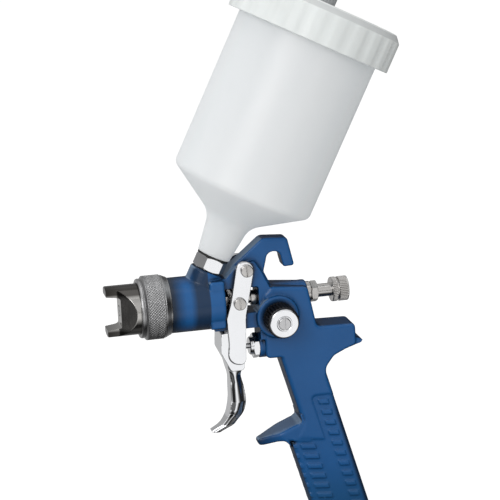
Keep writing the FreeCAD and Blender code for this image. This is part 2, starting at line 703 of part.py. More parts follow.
def air_distributor():
    """The thin plate that shares the air between the cap's centre and its horns."""
    body = turned("Distributor", "needle", [
        ("distributor_start", "distributor_radius"),
        ("distributor_end", "distributor_radius"),
        ("distributor_end", "distributor_lip_outer"),
        ("distributor_lip_end", "distributor_lip_outer"),
    ], [
        ("distributor_start", "distributor_inner"),
        ("distributor_end", "distributor_inner"),
        ("distributor_end", "distributor_lip_inner"),
        ("distributor_lip_end", "distributor_lip_inner"),
    ])
    return node(body, "air_distributor")


def fluid_nozzle():
    """The fluid nozzle, with its hexagon and its thread."""
    body = turned("Nozzle", "needle", [
        ("0", "nozzle_tip_radius"),
        ("nozzle_tip_end", "nozzle_tip_radius"),
        ("nozzle_cone_end", "nozzle_cone_radius"),
        ("nozzle_hex_end", "nozzle_cone_radius"),
        ("nozzle_hex_end", "nozzle_thread_radius"),
        ("nozzle_end", "nozzle_thread_radius"),
    ])
    add_hexagon(body, "nozzle_cone_end", "nozzle_hex_end", "nozzle_hex")
    cut_bore(body, "0 - 0.5", "nozzle_throat_end + 0.5", "nozzle_orifice")
    cut_bore(body, "nozzle_throat_end", "nozzle_cavity_start + 0.5", "needle_radius + 0.3")
    cut_bore(body, "nozzle_cavity_start", "nozzle_end + 0.5", "nozzle_cavity")
    return node(body, "fluid_nozzle")


def nozzle_gasket():
    body = turned("NozzleGasket", "needle",
                  [("nozzle_hex_end", "nozzle_gasket_radius"), ("nozzle_gasket_end", "nozzle_gasket_radius")],
                  [("nozzle_hex_end", "nozzle_thread_radius"), ("nozzle_gasket_end", "nozzle_thread_radius")])
    return node(body, "nozzle_gasket")


# ------------------------------------------------------------- needle and fluid control

def fluid_needle():
    body = turned("Needle", "needle", [
        ("needle_tip_start", "needle_tip_radius"),
        ("needle_taper_end", "needle_radius"),
        ("needle_end", "needle_radius"),
    ])
    return node(body, "fluid_needle")


def needle_collar():
    """The collar clamped on the needle, which the trigger's pull pin pushes."""
    body = turned("Collar", "needle", [
        ("collar_start", "collar_nose_radius"),
        ("collar_nose_end", "collar_nose_radius"),
        ("collar_nose_end", "collar_radius"),
        ("collar_end", "collar_radius"),
    ], [("collar_start", "needle_radius"), ("collar_end", "needle_radius")])
    return node(body, "needle_collar")


def needle_packing():
    inner = "needle_radius + packing_running"
    body = turned("Packing", "needle",
                  [("packing_start", "packing_bore_radius"), ("packing_end", "packing_bore_radius")],
                  [("packing_start", inner), ("packing_end", inner)])
    return node(body, "needle_packing")


def packing_nut():
    body = turned("PackingNut", "needle",
                  [("packing_end", "packing_bore_radius"), ("barrel_end + 0.3", "packing_bore_radius")])
    add_hexagon(body, "barrel_end", "packing_nut_head_end", "packing_nut_hex")
    cut_bore(body, "packing_end - 1", "packing_nut_head_end + 1", "packing_nut_bore")
    return node(body, "packing_nut")


def coil_spring(name, label, frame, group):
    """A compression spring: a round wire swept along a helix."""
    helix = DOC.addObject("Part::Helix", name + "Helix")
    helix.Length = size("%s_end - %s_start" % (group, group))
    bind(helix, Pitch=group + "_pitch", Height="%s_end - %s_start" % (group, group), Radius=group + "_radius")
    wire = DOC.addObject("Part::Circle", name + "Wire")
    wire.Placement = Placement(Vector(), Rotation(ALONG, 90))
    bind(wire, Radius=group + "_wire", Placement__Base__x=group + "_radius")
    spring = DOC.addObject("Part::Sweep", name)
    spring.Sections = [wire]
    spring.Spine = (helix, ["Edge1"])
    spring.Solid = True
    spring.Frenet = True
    place(spring, frame)
    bind(spring, Placement__Base__x=group + "_start")
    return node(spring, label)


def fluid_bushing():
    """The threaded bushing that closes the spring bore and carries the knob's stem."""
    body = turned("Bushing", "needle", [
        ("bushing_start", "bushing_bore_radius"),
        ("block_back", "bushing_bore_radius"),
        ("block_back", "bushing_flange_radius"),
        ("bushing_flange_end", "bushing_flange_radius", "ring_groove"),
    ], [("bushing_start", "bushing_bore"), ("bushing_flange_end", "bushing_bore")])
    return node(body, "fluid_bushing")


def fluid_lock_nut():
    body = new_body("LockNut", "needle")
    add_hexagon(body, "lock_nut_start", "lock_nut_end", "lock_nut_hex")
    cut_bore(body, "lock_nut_start - 1", "lock_nut_end + 1", "bushing_bore")
    return node(body, "fluid_lock_nut")


def fluid_knob():
    """The knob that limits the needle's travel, with a fluted rim."""
    body = turned("FluidKnob", "needle", [
        ("fluid_knob_stem_start", "fluid_knob_stem_radius"),
        ("fluid_knob_start", "fluid_knob_stem_radius"),
        ("fluid_knob_start", "fluid_knob_radius", "fluid_knob_edge"),
        ("fluid_knob_groove_start", "fluid_knob_radius"),
        ("fluid_knob_groove_start", "fluid_knob_groove_radius"),
        ("fluid_knob_groove_end", "fluid_knob_groove_radius"),
        ("fluid_knob_groove_end", "fluid_knob_radius"),
        ("fluid_knob_end", "fluid_knob_radius", "fluid_knob_edge"),
    ])
    cut_bore(body, "fluid_knob_stem_start - 1", "fluid_knob_hole_end", "fluid_knob_needle_hole")
    flute = primitive(body, "SubtractiveCylinder", "fluid_knob_start - 1", Radius="fluid_knob_flute",
                      Height="fluid_knob_end - fluid_knob_start + 2", AttachmentOffset__Base__x="fluid_knob_radius")
    settle(body, flute)
    polar(body, flute, "fluid_knob_flutes")
    return node(body, "fluid_knob")


# --------------------------------------------------------------------------- trigger

def trigger():
    """The trigger: two flat arms, the web that joins them and the curved finger blade."""
    body = new_body("Trigger", "gun")
    pad(body, [
        ("pivot_x - 5.4", "pivot_z + 5.4", "arm_top_round"),
        ("pivot_x + 5.4", "pivot_z + 5.4", "arm_top_round"),
        ("pull_x + 3.4", "pull_z - 8", "arm_top_round * 2"),
        ("pull_x + 2.4", "pull_z - 37.4", "arm_top_round * 0.6"),
        ("pull_x - 8.2", "pull_z - 35.4", "arm_top_round * 1.2"),
        ("pull_x - 7.0", "pull_z - 24", "arm_top_round * 4"),
        ("pull_x - 8.0", "pull_z - 8.5", "arm_top_round * 0.8"),
        ("pull_x - 5.0", "pull_z + 1", "arm_top_round * 4"),
    ], "arm_outer")
    pad(body, [
        ("pull_x - 11.4", "pull_z - 17.5", "blade_edge"),
        ("pull_x + 1.6", "pull_z - 17.5"),
        ("pull_x + 1.8", "pull_z - 41", "blade_edge"),
        ("pull_x - 6.4", "pull_z - 41", "blade_edge"),
        ("pull_x - 12.0", "pull_z - 29.4", "blade_edge * 1.5"),
    ], "blade_half")
    pad(body, [
        ("pull_x + 0.8", "pull_z - 36"),
        ("pull_x", "pull_z - 45", "blade_bend * 2"),
        ("pull_x + 2.2", "pull_z - 61.3", "blade_bend"),
        ("pull_x + 0.1", "pull_z - 69.3", "blade_bend"),
        ("pull_x - 4.8", "pull_z - 76.2", "blade_bend / 2"),
        ("pull_x - 13", "pull_z - 79.9", "blade_edge"),
        ("pull_x - 18.4", "pull_z - 79.4", "blade_edge / 8"),
        ("pull_x - 18.3", "pull_z - 78.8", "blade_edge / 8"),
        ("pull_x - 12.3", "pull_z - 75.5", "blade_bend"),
        ("pull_x - 7", "pull_z - 68.5", "blade_bend"),
        ("pull_x - 5.4", "pull_z - 61.4", "blade_bend * 2"),
        ("pull_x - 5.6", "pull_z - 49", "blade_bend * 2"),
        ("pull_x - 8.2", "pull_z - 37.6"),
        ("pull_x - 7", "pull_z - 34"),
    ], "blade_finger_half")
    pocket(body, [
        ("pull_x - 8.6", "pull_z - 36.2", "blade_edge / 2"),
        ("pull_x + 2.0", "pull_z - 40.4"),
        ("pull_x + 14", "pull_z - 40.4"),
        ("pull_x + 14", "pivot_z + 8"),
        ("pull_x - 15", "pivot_z + 8"),
        ("pull_x - 15", "pull_z - 17.0"),
        ("pull_x - 8.6", "pull_z - 17.0"),
    ], "arm_inner")
    for frame, radius in (("pivot", "pivot_radius + pivot_running"), ("pull", "pull_radius")):
        base = FRAMES[frame][2]
        hole = primitive(body, "SubtractiveCylinder", "0 - arm_outer - 1", "XZ_Plane", Radius=radius,
                         Height="2 * arm_outer + 2", AttachmentOffset__Base__x=base[0],
                         AttachmentOffset__Base__y=base[2])
        settle(body, hole)
    return node(body, "trigger")


def headed_pin(name, label, frame, outside, slot_side):
    """A pin or screw with a slotted round head, turned about a cross axis."""
    body = turned(name, frame, outside)
    if slot_side:
        cut_box(body, "head_end - head_slot_depth", "head_end + 1", "head_slot_half", "head_radius + 1")
    return node(body, label)


def pivot_pin():
    return headed_pin("PivotPin", "trigger_pivot_pin", "pivot", [
        ("0 - neck_half", "pivot_radius"),
        ("head_start", "pivot_radius"),
        ("head_start", "head_radius"),
        ("head_end", "head_radius", "head_edge"),
    ], True)


def pivot_screw():
    return headed_pin("PivotScrew", "trigger_pivot_screw", "pivot", [
        ("0 - head_end", "head_radius", "head_edge"),
        ("0 - head_start", "head_radius"),
        ("0 - head_start", "pivot_radius"),
        ("0 - neck_half", "pivot_radius"),
    ], False)


def pull_pin():
    """The pin between the arms that pulls the needle; the needle runs through its slot."""
    body = turned("PullPin", "pull", [
        ("0 - pull_block_half", "pull_block_radius"),
        ("pull_block_half", "pull_block_radius"),
        ("pull_block_half", "pull_radius"),
        ("head_start", "pull_radius"),
        ("head_start", "head_radius"),
        ("head_end", "head_radius", "head_edge"),
    ])
    cut_box(body, "head_end - head_slot_depth", "head_end + 1", "head_slot_half", "head_radius + 1")
    slot = primitive(body, "SubtractiveBox", "0 - pull_slot_half", Height="2 * pull_slot_half",
                     Length="2 * pull_block_radius + 2", Width="2 * pull_slot_height",
                     AttachmentOffset__Base__x="0 - pull_block_radius - 1",
                     AttachmentOffset__Base__y="0 - pull_slot_height")
    settle(body, slot)
    return node(body, "needle_pull_pin")


def pull_screw():
    return headed_pin("PullScrew", "needle_pull_screw", "pull", [
        ("0 - head_end", "head_radius", "head_edge"),
        ("0 - head_start", "head_radius"),
        ("0 - head_start", "pull_radius"),
        ("0 - pull_block_half", "pull_radius"),
    ], False)


# ------------------------------------------------------------------------- air valve

def valve_gland():
    """The gland nut that guides the air valve's stem."""
    body = turned("Gland", "valve", [
        ("gland_front", "gland_collar_radius", "head_edge"),
        ("boss_valve_front", "gland_collar_radius"),
        ("boss_valve_front", "gland_thread_radius"),
        ("gland_end", "gland_thread_radius"),
    ])
    add_hexagon(body, "gland_collar_end", "boss_valve_front", "gland_hex")
    cut_bore(body, "gland_front - 1", "gland_end + 1", "stem_radius + gland_running")
    cut_bore(body, "gland_ring_start", "gland_end + 1", "gland_ring_pocket")
    return node(body, "air_valve_gland")


def gland_ring():
    middle = "gland_ring_start + gland_ring_wire + 0.2"
    inner = "stem_radius + 0.03"
    body = turned("GlandRing", "valve",
                  [(middle + " - gland_ring_wire", inner + " + 2 * gland_ring_wire", "gland_ring_wire * 0.6"),
                   (middle + " + gland_ring_wire", inner + " + 2 * gland_ring_wire", "gland_ring_wire * 0.6")],
                  [(middle + " - gland_ring_wire", inner), (middle + " + gland_ring_wire", inner)])
    return node(body, "gland_o_ring")


def valve_stem():
    body = turned("ValveStem", "valve", [("stem_tip", "stem_radius", "stem_round"), ("stem_end", "stem_radius")])
    return node(body, "air_valve_stem")


def valve_seat():
    body = turned("ValveSeat", "valve",
                  [("seat_start", "valve_bore_radius"), ("seat_end", "valve_bore_radius")],
                  [("seat_start", "seat_bore"), ("seat_end", "seat_bore")])
    return node(body, "air_valve_seat")


def valve_seal():
    body = turned("ValveSeal", "valve", [("seal_start", "seal_radius"), ("seal_end", "seal_radius")],
                  [("seal_start", "stem_radius"), ("seal_end", "stem_radius")])
    return node(body, "air_valve_seal")


# ----------------------------------------------------------------------- fan control

def fan_bushing():
    body = turned("FanBushing", "fan", [
        ("fan_bushing_start", "fan_bore_radius"),
        ("fan_bushing_end", "fan_bore_radius"),
        ("fan_bushing_end", "fan_bushing_flange_radius"),
        ("fan_bushing_flange", "fan_bushing_flange_radius"),
    ], [("fan_bushing_start", "fan_bushing_bore"), ("fan_bushing_flange", "fan_bushing_bore")])
    return node(body, "fan_bushing")


def fan_stem():
    body = turned("FanStem", "fan", [
        ("fan_stem_start", "fan_stem_tip_radius"),
        ("fan_stem_cone_end", "fan_stem_radius"),
        ("fan_stem_end", "fan_stem_radius"),
    ])
    cut_bore(body, "fan_screw_depth", "fan_stem_end + 1", "fan_screw_shank")
    return node(body, "fan_valve_stem")


def fan_knob():
    """The fluted skirt of the fan control knob."""
    body = turned("FanKnob", "fan", [
        ("fan_knob_start", "fan_knob_radius", "fan_knob_edge"),
        ("fan_knob_end", "fan_knob_radius", "fan_knob_edge"),
    ], [("fan_knob_start", "fan_stem_radius"), ("fan_knob_end", "fan_stem_radius")])
    flute = primitive(body, "SubtractiveCylinder", "fan_knob_start - 1", Radius="fan_knob_flute",
                      Height="fan_knob_end - fan_knob_start + 2", AttachmentOffset__Base__x="fan_knob_radius")
    settle(body, flute)
    polar(body, flute, "fan_knob_flutes")
    return node(body, "fan_knob")


def fan_face():
    body = turned("FanFace", "fan", [
        ("fan_face_start", "fan_face_radius"),
        ("fan_face_end", "fan_face_radius", "fan_face_edge"),
    ], [("fan_face_start", "fan_screw_shank"), ("fan_face_end", "fan_screw_shank")])
    return node(body, "fan_knob_face")


def fan_screw():
    body = turned("FanScrew", "fan", [
        ("fan_screw_depth", "fan_screw_shank"),
        ("fan_face_end", "fan_screw_shank"),
        ("fan_face_end", "fan_screw_radius"),
        ("fan_screw_end", "fan_screw_radius", "fan_face_edge"),
    ])
    cut_box(body, "fan_screw_end - head_slot_depth", "fan_screw_end + 1", "head_slot_half", "fan_screw_radius + 1")
    return node(body, "fan_knob_screw")


# ------------------------------------------------------------------------- cup group

def cup_connector():
    """The metal connector between the gun's inlet and the plastic cup."""
    body = turned("Connector", "cup", [
        ("connector_start", "connector_thread_radius"),
        ("connector_hex_start", "connector_thread_radius"),
        ("connector_hex_start", "connector_flange_radius"),
        ("connector_hex_end", "connector_flange_radius"),
        ("connector_hex_end", "connector_stub_radius"),
        ("connector_stub_end", "connector_stub_radius"),
    ])
    add_hexagon(body, "connector_hex_start", "connector_hex_end", "connector_hex")
    cut_bore(body, "connector_start - 1", "connector_stub_end + 1", "connector_bore")
    return node(body, "cup_connector")


def cup_gasket():
    body = turned("CupGasket", "cup",
                  [("connector_hex_end", "cup_gasket_radius"), ("cup_gasket_end", "cup_gasket_radius")],
                  [("connector_hex_end", "connector_stub_radius"), ("cup_gasket_end", "connector_stub_radius")])
    return node(body, "cup_gasket")


def paint_cup():
    """The translucent gravity cup, hollow, with its wider mouth."""
    body = turned("Cup", "cup", [
        ("cup_gasket_end", "cup_neck_radius"),
        ("cup_neck_top", "cup_neck_top_radius", "cup_neck_blend"),
        ("cup_shoulder", "cup_radius", "cup_corner"),
        ("cup_flare_start", "cup_radius"),
        ("cup_flare_end", "cup_mouth_radius"),
        ("cup_rim", "cup_mouth_radius"),
    ], [
        ("cup_gasket_end", "connector_stub_radius"),
        ("connector_stub_end", "connector_stub_radius"),
        ("connector_stub_end", "cup_neck_radius + 2 - cup_wall"),
        ("cup_neck_top + 0.6", "cup_neck_top_radius - cup_wall", "cup_neck_blend + 2"),
        ("cup_shoulder + 1.4", "cup_radius - cup_wall", "cup_corner - cup_wall"),
        ("cup_flare_start + 1", "cup_radius - cup_wall"),
        ("cup_flare_end + 1", "cup_mouth_radius - cup_wall"),
        ("cup_rim", "cup_mouth_radius - cup_wall"),
    ])
    return node(body, "paint_cup")


def cup_strainer():
    """The paint strainer that stands in the cup's neck."""
    body = turned("Strainer", "cup", [
        ("strainer_start", "strainer_flange_radius"),
        ("strainer_flange_end", "strainer_flange_radius"),
        ("strainer_flange_end", "strainer_radius"),
        ("strainer_top", "strainer_radius"),
        ("strainer_top", "0"),
    ], [
        ("strainer_start", "strainer_radius - strainer_wall"),
        ("strainer_top - strainer_wall", "strainer_radius - strainer_wall"),
        ("strainer_top - strainer_wall", "0"),
    ])
    return node(body, "cup_strainer")


def cup_lid():
    """The screw lid, with broad upright ribs round its skirt."""
    body = turned("Lid", "cup", [
        ("lid_start", "lid_radius"),
        ("lid_chamfer_start", "lid_radius"),
        ("lid_end", "lid_top_radius", "lid_rib"),
        ("lid_end", "0"),
    ], [
        ("lid_start", "lid_inner"),
        ("lid_end - lid_top", "lid_inner"),
        ("lid_end - lid_top", "0"),
    ])
    rib = primitive(body, "AdditiveBox", "lid_start", Height="lid_chamfer_start - lid_start", Length="lid_rib_root",
                    Width="2 * lid_rib_half", AttachmentOffset__Base__x="lid_radius + lid_rib - lid_rib_root",
                    AttachmentOffset__Base__y="0 - lid_rib_half")
    settle(body, rib)
    polar(body, rib, "lid_ribs")
    cut_bore(body, "lid_end - lid_top - 1", "lid_end + 1", "lid_vent_hole")
    return node(body, "cup_lid")


def lid_seal():
    body = turned("LidSeal", "cup",
                  [("lid_seal_start", "lid_seal_radius"), ("lid_seal_end", "lid_seal_radius")],
                  [("lid_seal_start", "lid_seal_inner"), ("lid_seal_end", "lid_seal_inner")])
    return node(body, "lid_seal")


def vent_cap():
    """The small drip-check cap that stands in the lid's vent hole."""
    body = turned("VentCap", "cup", [
        ("vent_cap_stem_start", "vent_cap_stem_radius"),
        ("lid_end + 0.05", "vent_cap_stem_radius"),
        ("lid_end + 0.05", "vent_cap_radius"),
        ("vent_cap_end", "vent_cap_radius", "vent_cap_edge"),
    ])
    cut_bore(body, "vent_cap_stem_start - 1", "vent_cap_end + 1", "vent_cap_hole")
    return node(body, "vent_cap")


# ------------------------------------------------------------------------- air inlet

def air_nipple():
    """The threaded air inlet nipple in the handle's foot."""
    body = turned("Nipple", "inlet", [
        ("nipple_stub_start", "handle_bore_thread_radius"),
        ("nipple_hex_end", "handle_bore_thread_radius"),
        ("nipple_hex_end", "nipple_thread_radius"),
        ("nipple_thread_end", "nipple_thread_radius", "head_edge"),
    ])
    add_hexagon(body, "nipple_hex_start", "nipple_hex_end", "nipple_hex")
    cut_bore(body, "nipple_stub_start - 1", "nipple_thread_end + 1", "nipple_bore")
    return node(body, "air_inlet_nipple")


def inlet_seal():
    body = turned("InletSeal", "inlet",
                  [("inlet_seal_start", "inlet_seal_radius"), ("nipple_hex_start", "inlet_seal_radius")],
                  [("inlet_seal_start", "handle_bore_thread_radius"),
                   ("nipple_hex_start", "handle_bore_thread_radius")])
    return node(body, "inlet_seal")


# ------------------------------------------------------------------ build and write

def build_all():
    for make in (gun_body, air_cap, cap_ring, air_distributor, fluid_nozzle, nozzle_gasket, fluid_needle,
                 needle_collar, needle_packing, packing_nut, fluid_bushing, fluid_lock_nut, fluid_knob,
                 trigger, pivot_pin, pivot_screw, pull_pin, pull_screw, valve_gland, gland_ring, valve_stem,
                 valve_seat, valve_seal, fan_bushing, fan_stem, fan_knob, fan_face, fan_screw,
                 cup_connector, cup_gasket, paint_cup, cup_strainer, cup_lid, lid_seal, vent_cap,
                 air_nipple, inlet_seal):
        make()
    coil_spring("NeedleSpring", "needle_spring", "needle", "needle_spring")
    coil_spring("ValveSpring", "air_valve_spring", "valve", "valve_spring")


def check_all():
    """Stop if any object failed or any sub-part has no valid solid."""
    DOC.recompute()
    failed = [thing.Name for thing in DOC.Objects if {"Invalid", "Error"} & set(thing.State)]
    if failed:
        raise RuntimeError("these objects failed: " + ", ".join(failed))
    for part in NODES:
        if part.Shape.isNull() or not part.Shape.isValid() or not part.Shape.Solids:
            raise RuntimeError(part.Label + " has no valid solid")


def write_all():
    os.makedirs("parts", exist_ok=True)
    for part in NODES:
        part.Shape.exportStep("parts/%s.step" % part.Label)


build_all()
check_all()
write_all()
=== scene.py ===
import json
import math

import bmesh
import bpy
from mathutils import Matrix, Vector


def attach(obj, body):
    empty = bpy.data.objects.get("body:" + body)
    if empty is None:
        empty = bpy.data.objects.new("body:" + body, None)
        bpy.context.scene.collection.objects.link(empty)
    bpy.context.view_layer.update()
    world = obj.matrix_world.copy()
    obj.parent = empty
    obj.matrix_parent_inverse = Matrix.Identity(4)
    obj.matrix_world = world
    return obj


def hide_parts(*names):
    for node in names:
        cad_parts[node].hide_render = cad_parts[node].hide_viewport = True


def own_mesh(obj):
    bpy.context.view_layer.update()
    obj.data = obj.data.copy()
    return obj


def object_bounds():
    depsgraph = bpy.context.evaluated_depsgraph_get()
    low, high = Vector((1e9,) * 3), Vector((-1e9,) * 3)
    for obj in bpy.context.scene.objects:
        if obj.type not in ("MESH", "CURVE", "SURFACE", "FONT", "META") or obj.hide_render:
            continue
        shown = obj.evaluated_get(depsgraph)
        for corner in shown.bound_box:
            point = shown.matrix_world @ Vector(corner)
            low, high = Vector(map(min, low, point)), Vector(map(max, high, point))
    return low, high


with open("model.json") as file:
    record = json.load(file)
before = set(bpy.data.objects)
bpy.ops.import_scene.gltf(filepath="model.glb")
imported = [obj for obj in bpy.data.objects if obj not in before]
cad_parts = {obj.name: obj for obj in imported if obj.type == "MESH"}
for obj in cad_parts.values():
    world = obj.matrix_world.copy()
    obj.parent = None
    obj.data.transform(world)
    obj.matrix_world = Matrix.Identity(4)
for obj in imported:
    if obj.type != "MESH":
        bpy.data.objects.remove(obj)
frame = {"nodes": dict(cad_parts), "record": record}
cad_low, cad_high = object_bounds()
NODES = frame["nodes"]
MM = 0.001


# -------------------------------------------------------------------- axis frames
# Lengths here are in millimetres. Every axis frame has its own Z along
# the axis, so a turned piece is a list of (station, radius) points in its frame.

def axis_frame(about, degrees, base):
    return Matrix.Translation(Vector(base)) @ Matrix.Rotation(math.radians(degrees), 4, about)


HANDLE_LEAN = 16
LEAN = math.radians(HANDLE_LEAN)
LEAN_COS, LEAN_SIN = math.cos(LEAN), math.sin(LEAN)
CUP_LEAN = 26.5
INLET_OUT = 86.5
VALVE_Z = -29.3
FRAMES = {
    "needle": axis_frame("Y", 90, (0, 0, 0)),
    "valve": axis_frame("Y", 90, (0, 0, VALVE_Z)),
    "cup": axis_frame("Y", CUP_LEAN, (43.05, 0, 0)),
    "inlet": axis_frame("Y", 180 - HANDLE_LEAN, (INLET_OUT * LEAN_COS, 0, INLET_OUT * LEAN_SIN)),
    "fan": axis_frame("X", 90, (91.2, 0, -10.4)),
}


# ------------------------------------------------------------------ node helpers

class Shader:
    """A small wrapper that builds the node tree of one material or world."""

    def __init__(self, owner, space="Object"):
        self.owner = owner
        owner.use_nodes = True
        self.tree = owner.node_tree
        self.tree.nodes.clear()
        self.place = self.node("ShaderNodeTexCoord").outputs[space]

    def node(self, kind, settings=(), **inputs):
        """Add a node. Settings are attributes; inputs are values or sockets, with _ for a space."""
        made = self.tree.nodes.new(kind)
        for name, value in dict(settings).items():
            setattr(made, name, value)
        for name, value in inputs.items():
            self.feed(made.inputs[name.replace("_", " ")], value)
        return made

    def feed(self, socket, value):
        if isinstance(value, bpy.types.NodeSocket):
            self.tree.links.new(value, socket)
        else:
            socket.default_value = value

    def noise(self, scale, detail=3, rough=0.55, vector=None, stretch=None):
        """Noise over the object's own metres; stretch scales the axes first."""
        where = vector or self.place
        if stretch:
            mapping = self.node("ShaderNodeMapping", Vector=where)
            mapping.inputs["Scale"].default_value = stretch
            where = mapping.outputs[0]
        made = self.node("ShaderNodeTexNoise", Vector=where, Scale=scale, Detail=detail, Roughness=rough)
        return made.outputs[0]

    def ramp(self, value, low, high, start, end):
        """Map a value from low..high to start..end, clamped."""
        made = self.node("ShaderNodeMapRange", Value=value, From_Min=low, From_Max=high,
                         To_Min=start, To_Max=end)
        return made.outputs[0]

    def parts(self, vector):
        """The X, Y and Z sockets of a vector."""
        return self.node("ShaderNodeSeparateXYZ", Vector=vector).outputs

    def along(self, vector, direction):
        """How far a vector reaches along a direction."""
        made = self.node("ShaderNodeVectorMath", {"operation": "DOT_PRODUCT"})
        self.feed(made.inputs[0], vector)
        made.inputs[1].default_value = direction
        return made.outputs["Value"]

    def open_share(self, reach):
        """Ambient occlusion: 1 in the open, lower where other surfaces are within reach."""
        made = self.node("ShaderNodeAmbientOcclusion", {"samples": 8}, Distance=reach)
        return made.outputs["AO"]

    def number_mix(self, share, first, second):
        """A mix of two plain numbers."""
        made = self.node("ShaderNodeMix")
        self.feed(made.inputs[0], share)
        self.feed(made.inputs[2], first)
        self.feed(made.inputs[3], second)
        return made.outputs[0]

    def mix(self, share, first, second):
        """A mix of two colours."""
        made = self.node("ShaderNodeMix", {"data_type": "RGBA"})
        self.feed(made.inputs[0], share)
        self.feed(made.inputs[6], first)
        self.feed(made.inputs[7], second)
        return made.outputs[2]

    def math(self, operation, first, second=0.0):
        made = self.node("ShaderNodeMath", {"operation": operation})
        self.feed(made.inputs[0], first)
        self.feed(made.inputs[1], second)
        return made.outputs[0]

    def bump(self, height, distance, strength=1.0, normal=None):
        made = self.node("ShaderNodeBump", Height=height, Distance=distance, Strength=strength)
        if normal:
            self.feed(made.inputs["Normal"], normal)
        return made.outputs[0]

    def surface(self, **inputs):
        """The principled surface, wired to the output."""
        made = self.node("ShaderNodeBsdfPrincipled", **inputs)
        self.finish(made.outputs[0])
        return made

    def finish(self, socket, output="ShaderNodeOutputMaterial"):
        """Wire the last socket to the output and give back the material or world."""
        self.tree.links.new(socket, self.node(output).inputs[0])
        return self.owner

    def blend_shaders(self, share, first, second):
        made = self.node("ShaderNodeMixShader")
        self.feed(made.inputs[0], share)
        self.feed(made.inputs[1], first)
        self.feed(made.inputs[2], second)
        return made.outputs[0]


def rgb(red, green, blue):
    return (red, green, blue, 1.0)


# --------------------------------------------------------------------- materials

def new_shader(name):
    return Shader(bpy.data.materials.new(name))


def shaded_by_place(s, colour, navy):
    """The enamel's painted-in shading: greyer low on the handle, dark at the finger rest's front and the
    handle's rear, and two dark bands round the barrel."""
    across, _, height = s.parts(s.place)
    foot, grip = -150 * MM, -105 * MM
    colour = s.mix(s.ramp(height, foot, grip, 0.75, 0), colour, rgb(0.012, 0.065, 0.13))
    rest_front, rest_root = 77 * MM, 92 * MM
    rest_low, rest_high = -83 * MM, -80 * MM
    at_rest = s.math("MULTIPLY", s.ramp(across, rest_front, rest_root, 0.9, 0),
                     s.ramp(height, rest_low, rest_high, 1, 0))
    outward = s.along(s.place, (LEAN_COS, 0, LEAN_SIN))
    rear_start, rear_end = 98.4 * MM, 100.4 * MM
    handle_top, tail = -75 * MM, -60 * MM
    at_rear = s.math("MULTIPLY", s.ramp(outward, rear_start, rear_end, 0, 0.85),
                     s.ramp(height, handle_top, tail, 1, 0))
    colour = s.mix(s.math("MAXIMUM", at_rest, at_rear), colour, navy)
    ring_end, patch_start = 30 * MM, 37 * MM
    patch_end, band_full = 39.5 * MM, 43.5 * MM
    plate_near, plate = 50.6 * MM, 51.2 * MM
    behind_ring = s.ramp(across, ring_end, patch_start, 0.95, 0)
    by_plate = s.math("MULTIPLY", s.ramp(across, patch_end, band_full, 0, 0.82),
                      s.ramp(across, plate_near, plate, 1, 0))
    return s.mix(s.math("MAXIMUM", behind_ring, by_plate), colour, rgb(0.006, 0.016, 0.034))


def blue_enamel():
    """Semi-gloss blue enamel over a casting, with slight orange peel. Its colour holds painted shade (navy in
    hollows and creases, at turned-away edges and where polished metal mirrors it) and painted highlights on
    up-left slants and convex edges.
    """
    s = new_shader("blue_enamel")
    navy = rgb(0.004, 0.014, 0.036)
    cloud = s.ramp(s.noise(28, 4), 0.35, 0.65, 0, 1)
    colour = s.mix(cloud, rgb(0.007, 0.087, 0.268), rgb(0.010, 0.100, 0.300))
    wide, near = 8 * MM, 2.4 * MM
    # painted shade: navy in hollows and creases, where other surfaces are near
    colour = s.mix(s.ramp(s.open_share(wide), 0.35, 0.95, 0.85, 0), colour, navy)
    colour = s.mix(s.ramp(s.open_share(near), 0.6, 0.96, 0.95, 0), colour, navy)
    turned = s.node("ShaderNodeLayerWeight").outputs["Facing"]
    # painted shade: navy at edges turned away from the view, and navy wherever polished metal mirrors the
    # enamel
    mirror_shade = s.math("MULTIPLY", s.node("ShaderNodeLightPath").outputs["Is Glossy Ray"], 0.85)
    colour = s.mix(s.math("MAXIMUM", mirror_shade, s.ramp(turned, 0.25, 0.8, 0, 0.88)), colour, navy)
    colour = shaded_by_place(s, colour, navy)
    geometry = s.node("ShaderNodeNewGeometry")
    # painted highlight: faces turned up and to the left are lightened to grey-blue, as if lit from there
    slant_to_light = s.along(geometry.outputs["Normal"], (-0.7, -0.1, 0.7))
    colour = s.mix(s.ramp(slant_to_light, 0.86, 0.96, 0, 0.85), colour, rgb(0.17, 0.25, 0.36))
    pointed = geometry.outputs["Pointiness"]
    # painted shade in concave creases, and a painted highlight on convex edges
    colour = s.mix(s.ramp(pointed, 0.42, 0.485, 0.7, 0), colour, navy)
    colour = s.mix(s.ramp(pointed, 0.52, 0.6, 0, 0.3), colour, rgb(0.05, 0.17, 0.38))
    peel = s.noise(650, 2, 0.5)
    cast = s.noise(120, 3, 0.6)
    s.surface(
        Base_Color=colour,
        Roughness=s.ramp(s.noise(90, 4), 0.3, 0.7, 0.30, 0.40),
        Normal=s.bump(cast, 0.00014, 0.5, s.bump(peel, 0.00005, 0.5)),
        Coat_Weight=s.ramp(turned, 0.4, 0.8, 0.15, 0),
        Coat_Roughness=0.12,
        Specular_IOR_Level=s.ramp(turned, 0.4, 0.8, 0.3, 0.04),
    )
    return s.owner


def horns_painted_dark(s, colour, root_share):
    """Darken an air cap's metal away from its axis, most at the horns' tips: a painted dark reflection of
    dark surroundings.
    """
    station, _, height = s.parts(s.place)
    bore, horn = 8.5 * MM, 11 * MM
    tip, root = -7 * MM, 2 * MM
    share = s.math("MULTIPLY", s.ramp(s.math("ABSOLUTE", height), bore, horn, 0, 1),
                   s.ramp(station, tip, root, 0.97, root_share))
    return s.mix(share, colour, rgb(0.02, 0.018, 0.016))


